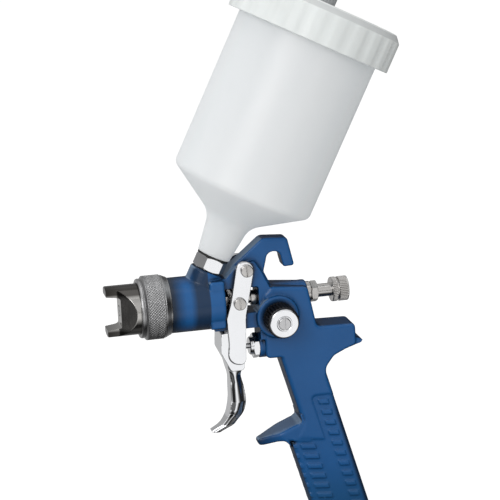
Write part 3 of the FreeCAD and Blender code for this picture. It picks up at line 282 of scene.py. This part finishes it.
def plated(name, tint, rough_low, rough_high, scratch=0.4, blotch=0.12, horn_painted_reflection=0.0):
    """A plated or turned metal with fine scratches and a slightly clouded finish."""
    s = new_shader(name)
    cloud = s.ramp(s.noise(60, 4), 0.3, 0.7, 0, 1)
    dull = rgb(*[channel * (1 - blotch) for channel in tint])
    colour = s.mix(cloud, rgb(*tint), dull)
    # painted reflection: the air cap's horns darkened as if mirroring dark surroundings
    if horn_painted_reflection:
        colour = horns_painted_dark(s, colour, horn_painted_reflection)
    lines = s.noise(900, 2, 0.6, stretch=(1.0, 0.12, 0.12))
    fine = s.noise(2600, 2, 0.5)
    clouded = s.ramp(s.noise(140, 4), 0.3, 0.7, rough_low, rough_high)
    s.surface(
        Base_Color=colour,
        Metallic=1.0,
        Roughness=s.math("ADD", clouded, s.ramp(lines, 0.4, 0.7, 0, 0.06)),
        Normal=s.bump(lines, 0.00002, scratch, s.bump(fine, 0.00001, scratch)),
    )
    return s.owner


def chamfer_painted_shade(s, colour, start, end):
    """A slightly grey band between two stations along the cup's axis: painted shade on the lid's top chamfer.
    """
    axis = FRAMES["cup"].to_3x3() @ Vector((0, 0, 1))
    offset = FRAMES["cup"].translation.dot(axis)
    fade = 0.3 * MM
    low, high = (start + offset) * MM, (end + offset) * MM
    station = s.along(s.place, axis)
    band = s.math("MULTIPLY", s.ramp(station, low, low + fade, 0, 0.45),
                  s.ramp(station, high - fade, high, 1, 0))
    return s.mix(band, colour, rgb(0.42, 0.43, 0.44))


def moulded(name, tint, rough, subsurface=0.0, chamfer=None):
    """A moulded plastic or rubber with fine grain and faint flow marks; a given chamfer gets a band of
    painted shade.
    """
    s = new_shader(name)
    flow = s.ramp(s.noise(35, 3, 0.5, stretch=(1, 1, 0.35)), 0.35, 0.65, 0, 1)
    shade = 0.12
    colour = s.mix(flow, rgb(*tint), rgb(*[channel * (1 - shade) for channel in tint]))
    # painted shade: a grey band on the lid's top chamfer
    if chamfer:
        colour = chamfer_painted_shade(s, colour, *chamfer)
    made = s.surface(
        Base_Color=colour,
        Roughness=s.ramp(s.noise(160, 3), 0.3, 0.7, rough, rough + 0.1),
        Normal=s.bump(s.noise(900, 3), 0.00003, 0.6),
        Subsurface_Weight=subsurface,
        Subsurface_Scale=0.006,
    )
    made.inputs["Subsurface Radius"].default_value = (1.0, 0.95, 0.9)
    return s.owner


def milky_plastic():
    """The cup's thin milky polyethylene, with soft streaks of painted shade along its axis. Its slight glow
    stands in for daylight through the wall.
    """
    s = new_shader("cup_plastic")
    flow = s.ramp(s.noise(16, 3, 0.5, stretch=(1, 1, 0.4)), 0.35, 0.65, 0, 1)
    colour = s.mix(flow, rgb(0.90, 0.915, 0.925), rgb(0.94, 0.95, 0.955))
    # painted shade: soft darker grey streaks along the cup's axis
    upright = s.node("ShaderNodeMapping", {"vector_type": "POINT"}, Vector=s.place)
    upright.inputs["Rotation"].default_value = (0, math.radians(-CUP_LEAN), 0)
    shade_streaks = s.noise(42, 1, 0.4, vector=upright.outputs[0], stretch=(1, 1, 0.03))
    colour = s.mix(s.ramp(shade_streaks, 0.38, 0.62, 0, 0.45), colour, rgb(0.80, 0.83, 0.845))
    relief = s.bump(s.noise(60, 2), 0.0002, 0.35, s.bump(s.noise(800, 2), 0.00002, 0.5))
    body = s.node("ShaderNodeBsdfPrincipled", Base_Color=colour, Normal=relief, Subsurface_Weight=0.35,
                  Subsurface_Scale=0.01, Roughness=s.ramp(s.noise(90, 3), 0.3, 0.7, 0.30, 0.42))
    body.inputs["Subsurface Radius"].default_value = (1.0, 1.0, 1.0)
    turned = s.node("ShaderNodeLayerWeight").outputs["Facing"]
    body.inputs["Emission Color"].default_value = rgb(0.93, 0.98, 1.0)
    s.feed(body.inputs["Emission Strength"], s.ramp(turned, 0.1, 0.75, 0.05, 0.17))
    glow = s.node("ShaderNodeBsdfTranslucent", Color=rgb(0.94, 0.945, 0.95), Normal=relief)
    return s.finish(s.blend_shaders(0.25, body.outputs[0], glow.outputs[0]))


MATERIALS = {
    "blue_enamel": blue_enamel(),
    "satin_nickel": plated("satin_nickel", (0.42, 0.42, 0.425), 0.24, 0.34),
    "polished_nickel": plated("polished_nickel", (0.52, 0.51, 0.49), 0.10, 0.18, scratch=0.25,
                              horn_painted_reflection=0.9),
    "nickel_plate": plated("nickel_plate", (0.58, 0.565, 0.55), 0.14, 0.26),
    "steel": plated("steel", (0.62, 0.62, 0.63), 0.18, 0.3),
    "chrome_plate": plated("chrome_plate", (0.86, 0.87, 0.89), 0.05, 0.1, scratch=0.15, blotch=0.04),
    "brass": plated("brass", (0.72, 0.52, 0.24), 0.2, 0.34),
    "cup_plastic": milky_plastic(),
    "lid_plastic": moulded("lid_plastic", (0.83, 0.865, 0.855), 0.38, subsurface=0.2, chamfer=(183.6, 187.0)),
    "grey_plastic": moulded("grey_plastic", (0.36, 0.37, 0.38), 0.4),
    "nylon_white": moulded("nylon_white", (0.80, 0.80, 0.77), 0.45),
    "nylon_black": moulded("nylon_black", (0.02, 0.02, 0.022), 0.45),
    "ptfe": moulded("ptfe", (0.82, 0.82, 0.80), 0.35),
    "rubber_black": moulded("rubber_black", (0.014, 0.014, 0.014), 0.6),
    "knob_black": plated("knob_black", (0.05, 0.05, 0.055), 0.3, 0.42),
}


def dress(thing, slot):
    """Give an object one material and its record slot."""
    thing.data.materials.clear()
    thing.data.materials.append(MATERIALS[slot])


for row in frame["record"]["subparts"]:
    dress(NODES[row["node"]], row["material_slot"])


# ------------------------------------------------------------------ shape helpers
def new_piece(name, mesh, stands_for, sharp=38):
    """Put a finished mesh in the scene in place of CAD nodes, on their body."""
    piece = bpy.data.objects.new(name, mesh)
    bpy.context.scene.collection.objects.link(piece)
    for face in mesh.polygons:
        face.use_smooth = True
    mesh.set_sharp_from_angle(angle=math.radians(sharp))
    modifier = piece.modifiers.new("flat_faces", "WEIGHTED_NORMAL")
    modifier.keep_sharp = True
    slots = {row["node"]: row["material_slot"] for row in frame["record"]["subparts"]}
    dress(piece, slots[stands_for])
    body = next(name for name, nodes in frame["record"]["behaviour"]["bodies"].items() if stands_for in nodes)
    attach(piece, body)
    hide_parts(stands_for)
    return piece


def eased(points, radius, steps=4):
    """Round the corners of an open run of (station, radius) points."""
    run = [points[0]]
    for before, corner, after in zip(points, points[1:], points[2:]):
        here = Vector(corner)
        back, ahead = Vector(before) - here, Vector(after) - here
        reach = min(radius, back.length * 0.45, ahead.length * 0.45)
        start, end = here + back.normalized() * reach, here + ahead.normalized() * reach
        for step in range(steps + 1):
            share = step / steps
            run.append(tuple(start * (1 - share) ** 2 + here * (2 * share * (1 - share)) + end * share ** 2))
    return run + [points[-1]]


def filled(points, gap):
    """Add points so that no step along the run is longer than the gap."""
    run = [points[0]]
    for before, after in zip(points, points[1:]):
        count = max(1, math.ceil((Vector(after) - Vector(before)).length / gap))
        for step in range(1, count + 1):
            run.append(tuple(Vector(before).lerp(Vector(after), step / count)))
    return run


def lathe(profile, place, steps=128, shape=None):
    """Turn a profile about the frame's axis. A profile that starts and ends on the axis closes itself;
    any other is closed from its last point back to its first. Shape may change each point's radius."""
    grid = bmesh.new()
    matrix = FRAMES[place]
    rows = []
    for station, radius in profile:
        if radius < 1e-6:
            rows.append([grid.verts.new(matrix @ Vector((0, 0, station)) * MM)])
            continue
        row = []
        for step in range(steps):
            angle = math.tau * step / steps
            reach = shape(angle, station, radius) if shape else radius
            point = Vector((reach * math.cos(angle), reach * math.sin(angle), station))
            row.append(grid.verts.new(matrix @ point * MM))
        rows.append(row)
    pairs = list(zip(rows, rows[1:]))
    if len(rows[0]) > 1 and len(rows[-1]) > 1:
        pairs.append((rows[-1], rows[0]))
    for low, high in pairs:
        for step in range(steps):
            after = (step + 1) % steps
            if len(low) == 1:
                corners = [low[0], high[step], high[after]]
            elif len(high) == 1:
                corners = [low[step], high[0], low[after]]
            else:
                corners = [low[step], high[step], high[after], low[after]]
            grid.faces.new(corners)
    bmesh.ops.recalc_face_normals(grid, faces=grid.faces)
    mesh = bpy.data.meshes.new("turned")
    grid.to_mesh(mesh)
    grid.free()
    return mesh


def triangle_wave(value):
    """0 at whole numbers, 1 half-way between them."""
    part = value % 1.0
    return 1 - abs(2 * part - 1)


def smooth_step(value):
    value = min(1.0, max(0.0, value))
    return value * value * (3 - 2 * value)


def inside(station, start, end, fade):
    """1 between two stations, falling smoothly to 0 at each."""
    return smooth_step((station - start) / fade) * smooth_step((end - station) / fade)


def diamond_knurl(count, depth, start, end, pitch, fade=0.35):
    def shape(angle, station, radius):
        turn = count * angle / math.tau
        rise = station / pitch
        peak = min(triangle_wave(turn + rise), triangle_wave(turn - rise))
        return radius - depth * (1 - min(1, peak * 1.6)) * inside(station, start, end, fade)
    return shape


def straight_knurl(count, depth, start, end, fade=0.3):
    def shape(angle, station, radius):
        peak = min(1, triangle_wave(count * angle / math.tau) * 1.5)
        return radius - depth * (1 - peak) * inside(station, start, end, fade)
    return shape


def hexagon_shape(across, start, end, slope=1.8):
    """Six flats between two stations, with turned chamfers at both ends."""
    def shape(angle, station, radius):
        if not start - 1e-6 <= station <= end + 1e-6 or radius < across * 0.49:
            return radius
        from_middle = (angle + math.tau / 12) % (math.tau / 6) - math.tau / 12
        flat = across / 2 / math.cos(math.tau / 12 - abs(from_middle))
        room = across / 2 + 0.15 + slope * min(station - start, end - station)
        return min(flat, room)
    return shape


def hexagon_rows(start, end, radius):
    """Stations close together near both ends, for the chamfers."""
    near = (0, 0.15, 0.3, 0.45, 0.6, 0.8)
    return [(start + step, radius) for step in near] + [(end - step, radius) for step in reversed(near)]


# -------------------------------------------------------------------- soft castings

def remeshed(name, source, voxel, rounds):
    """A copy of a CAD node with softly rounded edges, as a casting or a polished forging has."""
    mesh = NODES[source].data.copy()
    mesh.materials.clear()
    copy = bpy.data.objects.new(name + "_raw", mesh)
    bpy.context.scene.collection.objects.link(copy)
    weld = copy.modifiers.new("weld", "WELD")
    weld.merge_threshold = 1e-6
    remesh = copy.modifiers.new("remesh", "REMESH")
    remesh.mode = "VOXEL"
    remesh.voxel_size = voxel * MM
    smooth = copy.modifiers.new("smooth", "SMOOTH")
    smooth.factor = 0.5
    smooth.iterations = rounds
    depsgraph = bpy.context.evaluated_depsgraph_get()
    made = bpy.data.meshes.new_from_object(copy.evaluated_get(depsgraph))
    bpy.data.objects.remove(copy)
    return made


# the finger rest, in the handle's leaning frame: out is towards the rear, up is along the handle
REST_TIP_OUT = 49
REST_LOW, REST_HIGH = -120, -98
REST_LIFT = 4.4
HANDLE_FRONT_OUT = 68.3
HANDLE_HALF_WIDTH = 9.3
STEP_START_OUT, STEP_START_UP, STEP_SLOPE = 68.6, -112.4, -0.404
SMOOTH_ROUNDS = 10


def spread_finger_rest(mesh):
    """Spread the finger rest's root until it is flush with the handle's side, and level with its step."""
    fillet_width = 3.2
    lift_start_out, spread_end_out = 50, 80
    grid = bmesh.new()
    grid.from_mesh(mesh)
    moved = []
    for vertex in grid.verts:
        x, y, z = vertex.co / MM
        out, up = x * LEAN_COS + z * LEAN_SIN, z * LEAN_COS - x * LEAN_SIN
        step = STEP_START_UP + STEP_SLOPE * (out - STEP_START_OUT)
        below_step = out > HANDLE_FRONT_OUT and up < step + 0.3
        if out > spread_end_out or not REST_LOW < up < REST_HIGH or below_step:
            continue
        if out < HANDLE_FRONT_OUT:
            fillet = smooth_step((STEP_START_OUT - out) / fillet_width)
            underside = smooth_step((-105.5 - up) / 6)
            up += REST_LIFT * smooth_step((out - lift_start_out) / 15) * fillet * underside
        wide = abs(y) * (0.6 + 1.25 * smooth_step((out - REST_TIP_OUT) / 19))
        across = wide if out < 62 else max(abs(y), min(wide, HANDLE_HALF_WIDTH))
        x, z = out * LEAN_COS - up * LEAN_SIN, out * LEAN_SIN + up * LEAN_COS
        vertex.co = Vector((x, math.copysign(across, y), z)) * MM
        if out > 60 and up < -104:
            moved.append(vertex)
    for vertex in list(moved):
        moved += [edge.other_vert(vertex) for edge in vertex.link_edges]
    for _ in range(SMOOTH_ROUNDS):
        bmesh.ops.smooth_vert(grid, verts=list(set(moved)), factor=0.5, use_axis_x=True, use_axis_y=True,
                              use_axis_z=True)
    grid.to_mesh(mesh)
    grid.free()


def gun_casting():
    made = remeshed("gun_casting", "gun_body", 0.45, 4)
    spread_finger_rest(made)
    new_piece("gun_casting", made, "gun_body", 180)


def air_cap():
    made = remeshed("horned_cap", "air_cap", 0.2, 4)
    new_piece("horned_cap", made, "air_cap", 180)


# the blade's front and back edges, from its top to its tip: (height, front x, back x)
BLADE_TOP, BLADE_TIP = -41, -79
BLADE_RUN = ((BLADE_TOP, 61.2, 69.2), (-49, 63, 69.3), (-61.4, 63.1, 70.8), (-68.6, 61.5, 68.7),
             (-75.6, 56.3, 65), (BLADE_TIP, 50.3, 57))


def blade_section(height):
    """The blade's front edge and its depth at a height."""
    for (top, front, back), (low, low_front, low_back) in zip(BLADE_RUN, BLADE_RUN[1:]):
        if low <= height <= top or low == BLADE_TIP:
            share = min(1, max(0, (top - height) / (top - low)))
            edge = front + (low_front - front) * share
            return edge, back + (low_back - back) * share - edge


def trigger_blade():
    """The trigger, polished round. Its finger blade is deeper in the middle than the CAD's, and narrower at
    its front, back and tip."""
    front_narrowing, back_narrowing, tip_narrowing = 0.3, 0.4, 0.45
    widest = 0.35
    deepening = 0.25
    made = remeshed("chrome_trigger", "trigger", 0.28, 5)
    for vertex in made.vertices:
        place = vertex.co / MM
        if place.z > BLADE_TOP:
            continue
        edge, depth = blade_section(place.z)
        across = min(1, max(0, (place.x - edge) / depth))
        fade = smooth_step((BLADE_TOP - place.z) / 5)
        towards_front = 1 - smooth_step(across / widest)
        towards_back = smooth_step((across - widest) / (1 - widest))
        narrow = front_narrowing * towards_front + back_narrowing * towards_back
        vertex.co.y *= (1 - fade * narrow) * (1 - tip_narrowing * smooth_step((-66 - place.z) / 13))
        middle = edge + depth / 2
        stretch = 1 + deepening * inside(place.z, -74, -44, 9)
        vertex.co.x = (middle + (place.x - middle) * stretch) * MM
    new_piece("chrome_trigger", made, "trigger", 180)


# -------------------------------------------------------------------- turned pieces

def retaining_ring():
    outside = [(10.8, 15.3), (10.8, 17.0), (11.6, 17.3), (12.5, 17.3), (12.6, 16.8), (13.1, 16.8),
               (13.2, 17.4), (14.2, 18.7), (24.2, 18.7), (24.4, 18.0), (24.9, 18.0), (25.1, 18.3),
               (27.6, 17.1), (28.3, 16.9)]
    bore = [(28.3, 16.0), (15.3, 16.0), (15.3, 15.85), (13.0, 15.85), (13.0, 14.95), (11.1, 14.95)]
    profile = filled(eased(outside, 0.3), 0.3) + bore
    mesh = lathe(profile, "needle", 576, diamond_knurl(70, 0.55, 14.4, 24.1, 1.65))
    new_piece("knurled_ring", mesh, "cap_retaining_ring", 60)


def fluid_knob():
    outside = [(104.2, 1.75), (104.2, 3.9), (126, 3.9), (126, 7.3), (129.2, 7.3), (129.2, 6.3), (130.1, 6.3),
               (130.1, 7.3), (135.8, 7.3), (135.8, 0)]
    run = filled(eased(outside, 0.5), 0.3)
    first = straight_knurl(40, 0.5, 126.3, 129.1)
    second = straight_knurl(40, 0.5, 130.2, 135.4)

    def shape(angle, station, radius):
        return second(angle, station, first(angle, station, radius)) if radius > 6.8 else radius

    mesh = lathe([(119, 0), (119, 1.75)] + run, "needle", 320, shape)
    new_piece("knurled_fluid_knob", mesh, "fluid_knob", 60)


def fan_knob():
    outside = [(12.7, 2.5), (12.7, 9.0), (13.4, 9.5), (24.0, 9.5), (24.6, 8.9), (24.6, 2.5)]
    mesh = lathe(filled(eased(outside, 0.3), 0.4), "fan", 360, straight_knurl(30, 0.75, 13.2, 24.4))
    new_piece("fluted_fan_knob", mesh, "fan_knob", 60)
    face = [(24.65, 1.5), (24.65, 8.5), (25.9, 8.5), (26.3, 8.1), (26.3, 4.6), (26.1, 4.3), (26.1, 1.5)]
    mesh = lathe(eased(face, 0.35), "fan", 96)
    new_piece("fan_knob_disc", mesh, "fan_knob_face")


def cup_lid():
    outside = [(165.8, 45.7), (165.8, 49.1), (183.4, 49.1), (187.6, 45.6), (187.6, 41.0), (187.2, 40.6),
               (187.2, 12.5), (187.6, 12.0), (187.6, 2.0), (184.4, 2.0), (184.4, 45.7)]
    ribs, flute_depth = 24, 0.55
    skirt_radius, top_station = 47, 186

    def shape(angle, station, radius):
        if radius < skirt_radius or station > top_station:
            return radius
        rib = smooth_step(1.7 * triangle_wave(ribs * angle / math.tau + 0.5) - 0.2)
        return radius - flute_depth * (1 - rib) * inside(station, 165.0, 184.6, 1.6)

    mesh = lathe(filled(eased(outside, 0.6), 1.6), "cup", 384, shape)
    new_piece("fluted_lid", mesh, "cup_lid", 55)


def paint_cup():
    outer = eased([(30.6, 9.2), (31.2, 9.8), (53, 12.8)], 0.6)[:-1]
    outer += eased([(40, 11.02), (53, 12.8), (69, 36.8)], 8, 12)[1:-1]
    outer += eased([(66, 32.3), (72, 42), (78, 42)], 3.5, 8)[1:-1]
    outer += [(78, 42), (166.4, 42), (169.5, 45.2), (173, 45.2)]
    threads = []
    rim, crest, pitch = 45.2, 45.55, 3.2
    for turn in range(3):
        start = 173.2 + turn * pitch
        threads += [(start, rim), (start + 0.5, crest), (start + 1.3, crest), (start + 1.8, rim)]
    inner = [(183.2, 43.3), (170.4, 43.3), (167.5, 40.1)]
    inner += eased([(167.5, 40.1), (73.4, 40.1), (53.6, 10.9), (44, 9.9), (44, 6.5)], 7, 10)[1:]
    mesh = lathe(outer + threads + [(183.2, 45.2)] + inner + [(30.6, 6.5)], "cup", 192)
    new_piece("milky_cup", mesh, "paint_cup", 50)


def vent_cap():
    outside = [(179, 0.8), (179, 1.9), (187.65, 1.9), (187.65, 6.8), (193.4, 6.8), (195, 5.6), (195, 3.8),
               (194.2, 3.4), (194.2, 0.8)]
    mesh = lathe(filled(eased(outside, 0.4), 0.8), "cup", 192, straight_knurl(24, 0.35, 188.4, 193.4))
    new_piece("drip_cap", mesh, "vent_cap", 50)


GAS_THREAD_PITCH = 1.34


def screw_thread(depth, start, end, least, elsewhere):
    """A shallow helix between two stations, outside the least radius; another shape everywhere else."""
    def shape(angle, station, radius):
        if start < station < end and radius > least:
            return radius - depth + depth * triangle_wave(station / GAS_THREAD_PITCH - angle / math.tau)
        return elsewhere(angle, station, radius)
    return shape


def cup_connector():
    low, high = 22, 29.5
    rows = hexagon_rows(low, high, 10)
    shape = screw_thread(0.35, 10.8, 21.4, 7, hexagon_shape(17, low, high))

    thread = filled([(10, 7.3), (10.6, 7.94), (21.5, 7.94), (21.9, 7.2)], 0.25)
    profile = [(10, 4.2)] + thread + rows + [(29.5, 6.5), (44, 6.5), (44, 4.2)]
    new_piece("cup_hexagon", lathe(profile, "cup", 144, shape), "cup_connector", 30)


def air_nipple():
    low, high = 173, 181
    shape = screw_thread(0.5, 182, 192.4, 6, hexagon_shape(19, low, high))
    thread = filled([(181, 5.9), (181.8, 5.9), (182, 6.58), (192, 6.58), (193, 5.8)], 0.25)
    profile = [(159, 4.0), (159, 5.6), (low, 5.6)] + hexagon_rows(low, high, 11.2) + thread + [(193, 4.0)]
    new_piece("threaded_nipple", lathe(profile, "inlet", 144, shape), "air_inlet_nipple", 30)


def nut(name, stands_for, place, across, corner, low, high, front, back):
    """A turned nut: a hexagon between two stations, with its front and back runs."""
    profile = front + hexagon_rows(low, high, corner) + back
    new_piece(name, lathe(profile, place, 144, hexagon_shape(across, low, high)), stands_for, 30)


def hexagon_nuts():
    """The small nuts: gland, packing nut and lock nut."""
    nut("gland_nut", "air_valve_gland", "valve", 13.6, 8, 77.2, 80.6,
        [(75.2, 1.66), (75.2, 4.9), (75.7, 5.4), (77.2, 5.4)],
        [(80.6, 5.2), (86, 5.2), (86, 3.4), (83.4, 3.4), (83.4, 1.66)])
    nut("packing_hexagon", "packing_nut", "needle", 9.6, 5.6, 60, 63.6,
        [(57, 1.7), (57, 4), (60, 4)], [(63.6, 1.7)])
    nut("lock_hexagon", "fluid_lock_nut", "needle", 11.2, 6.6, 113.5, 117.2,
        [(113.5, 3.96)], [(117.2, 3.96)])


def bushing():
    outside = [(104, 3.96), (104, 5.05), (110.6, 5.05), (110.6, 6.2), (112.9, 6.2), (113.4, 5.7),
               (113.4, 3.96)]
    new_piece("stepped_bushing", lathe(eased(outside, 0.2), "needle", 96), "fluid_bushing")


def spring(name, source):
    """A hidden compression spring, copied from its CAD node onto a mesh of its own."""
    piece = new_piece(name, NODES[source].data.copy(), source)
    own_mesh(piece)


def springs():
    spring("closing_coil", "needle_spring")
    spring("valve_coil", "air_valve_spring")


def soften_edges(thing):
    """Break the edges of a small metal part."""
    weld = thing.modifiers.new("weld", "WELD")
    weld.merge_threshold = 1e-6
    bevel = thing.modifiers.new("bevel", "BEVEL")
    bevel.width = 0.18 * MM
    bevel.segments = 3
    bevel.limit_method = "ANGLE"
    bevel.angle_limit = math.radians(40)
    bevel.use_clamp_overlap = True
    bevel.harden_normals = True


def small_metal_parts():
    """The trigger's pins and screws, with heads a little smaller than the arms' round ends, and two more
    small parts as the CAD has them."""
    arm_outside, head_share = 11.6, 0.8
    pivot, pull = (73.5, 19.2), (68.6, 0)
    for name, (middle_x, middle_z) in (("trigger_pivot_pin", pivot), ("trigger_pivot_screw", pivot),
                                       ("needle_pull_pin", pull), ("needle_pull_screw", pull)):
        mesh = NODES[name].data.copy()
        for vertex in mesh.vertices:
            x, y, z = vertex.co / MM
            if abs(y) > arm_outside:
                x = middle_x + (x - middle_x) * head_share
                z = middle_z + (z - middle_z) * head_share
                vertex.co = Vector((x, y, z)) * MM
        soften_edges(new_piece(name + "_soft", mesh, name, 30))
    soften_edges(NODES["fan_knob_screw"])
    soften_edges(NODES["needle_collar"])


for build in (gun_casting, air_cap, trigger_blade, retaining_ring, fluid_knob, fan_knob, cup_lid, paint_cup,
              vent_cap, cup_connector, air_nipple, hexagon_nuts, bushing, springs, small_metal_parts):
    build()


# ------------------------------------------------------------ floor, light, camera

def studio_floor():
    """A plain pale floor. Polished metal sees it bright ahead of the gun and darker elsewhere."""
    reach = 12.0
    mesh = bpy.data.meshes.new("studio_floor")
    corners = [(-reach, -reach, 0), (reach, -reach, 0), (reach, reach, 0), (-reach, reach, 0)]
    mesh.from_pydata(corners, [], [(0, 1, 2, 3)])
    floor = bpy.data.objects.new("studio_floor", mesh)
    gap = 0.5 * MM
    floor.location.z = cad_low.z - gap
    bpy.context.scene.collection.objects.link(floor)
    s = new_shader("studio_floor")
    tone = s.ramp(s.noise(2.0, 2), 0.3, 0.7, 0.37, 0.38)
    grey = s.node("ShaderNodeCombineColor", Red=tone, Green=tone, Blue=tone).outputs[0]
    plain = s.node("ShaderNodeBsdfDiffuse", Color=grey).outputs[0]
    across, along, _ = s.parts(s.place)
    in_front = s.ramp(along, -0.30, -0.10, 1.0, 0.0)
    at_back = s.ramp(along, -0.05, 0.25, 0.0, 1.0)
    front_tone = s.math("MULTIPLY", s.ramp(across, 0.30, 0.50, 1.0, 0.05),
                        s.ramp(across, -0.52, -0.40, 0.12, 1.0))
    back_tone = s.ramp(across, 0.10, 0.40, 0.50, 0.05)
    tent = s.math("ADD", s.math("MULTIPLY", front_tone, in_front), s.math("MULTIPLY", back_tone, at_back))
    rays = s.node("ShaderNodeLightPath").outputs
    seen = s.math("MULTIPLY", rays["Is Camera Ray"], 0.80)
    bounce = s.math("MULTIPLY", rays["Is Diffuse Ray"], s.math("MULTIPLY", in_front, 0.45))
    shine = s.math("MULTIPLY", rays["Is Glossy Ray"], tent)
    lit = s.node("ShaderNodeEmission", Strength=s.math("ADD", seen, s.math("ADD", bounce, shine)))
    unlit = s.node("ShaderNodeBsdfDiffuse", Color=rgb(0.02, 0.02, 0.02)).outputs[0]
    total = s.node("ShaderNodeAddShader")
    s.feed(total.inputs[0], s.blend_shaders(rays["Is Glossy Ray"], plain, unlit))
    s.feed(total.inputs[1], lit.outputs[0])
    mesh.materials.append(s.finish(total.outputs[0]))


def studio_world():
    """White all round, with pale panels and dark gaps that only polished metal shows."""
    world = bpy.data.worlds.new("studio_world")
    bpy.context.scene.world = world
    s = Shader(world, "Generated")
    across, along, up = s.parts(s.place)
    overhead = s.ramp(up, 0.45, 0.65, 0, 0.9)
    front = s.ramp(along, -0.75, -0.30, 1.05, 0.05)
    sides = s.math("MULTIPLY", s.ramp(across, 0.40, 0.60, 1.0, 0.05), s.ramp(across, -0.9, -0.6, 0.1, 1.0))
    back = s.math("MULTIPLY", s.ramp(along, 0.0, 0.4, 0.0, 1.0), s.ramp(across, 0.1, 0.4, 0.5, 0.05))
    panels = s.math("MAXIMUM", s.math("MAXIMUM", overhead, back), s.math("MULTIPLY", sides, front))
    soft = s.math("ADD", s.ramp(along, -0.9, 0.4, 0.95, 0.45), s.ramp(up, 0.2, 1, 0, 0.3))
    rays = s.node("ShaderNodeLightPath").outputs
    camera_white = 1.25
    lighting = s.number_mix(rays["Is Glossy Ray"], soft, panels)
    strength = s.number_mix(rays["Is Camera Ray"], lighting, camera_white)
    background = s.node("ShaderNodeBackground", Color=rgb(0.8, 0.8, 0.8), Strength=strength)
    s.finish(background.outputs[0], "ShaderNodeOutputWorld")


def studio_lamps():
    """Three soft lamps. The left one isn't seen in polished metal, where it would burn out one flat."""
    lamps = (
        ("key_light", (-0.75, -1.0, 0.65), 0.7, 5.0, True),
        ("left_light", (-1.3, 0.1, 0.5), 0.8, 3.0, False),
        ("top_light", (0.1, -0.1, 1.4), 1.0, 2.5, True),
    )
    centre = (cad_low + cad_high) / 2
    for name, offset, width, power, reflected in lamps:
        data = bpy.data.lights.new(name, "AREA")
        data.size = width
        data.energy = power
        lamp = bpy.data.objects.new(name, data)
        lamp.location = centre + Vector(offset)
        lamp.rotation_mode = "QUATERNION"
        lamp.rotation_quaternion = (-Vector(offset)).to_track_quat("-Z", "Y")
        lamp.visible_glossy = reflected
        bpy.context.scene.collection.objects.link(lamp)


def add_camera():
    """A long lens from the gun's front left, a little above, rolled slightly."""
    yaw, rise, roll = math.radians(12.5), math.radians(14), math.radians(2.4)
    distance, lens = 0.991, 124.1
    target = Vector((76.45, -9.1, 30.7)) * MM
    back = Vector((-math.sin(yaw) * math.cos(rise), -math.cos(yaw) * math.cos(rise), math.sin(rise)))
    data = bpy.data.cameras.new("camera")
    data.lens = lens
    camera = bpy.data.objects.new("camera", data)
    camera.location = target + back * distance
    camera.rotation_mode = "QUATERNION"
    aim = (-back).to_track_quat("-Z", "Y").to_matrix()
    camera.rotation_quaternion = (aim @ Matrix.Rotation(-roll, 3, "Z")).to_quaternion()
    bpy.context.scene.collection.objects.link(camera)
    bpy.context.scene.camera = camera


studio_floor()
studio_world()
studio_lamps()
add_camera()
bpy.context.scene.view_settings.view_transform = "Standard"
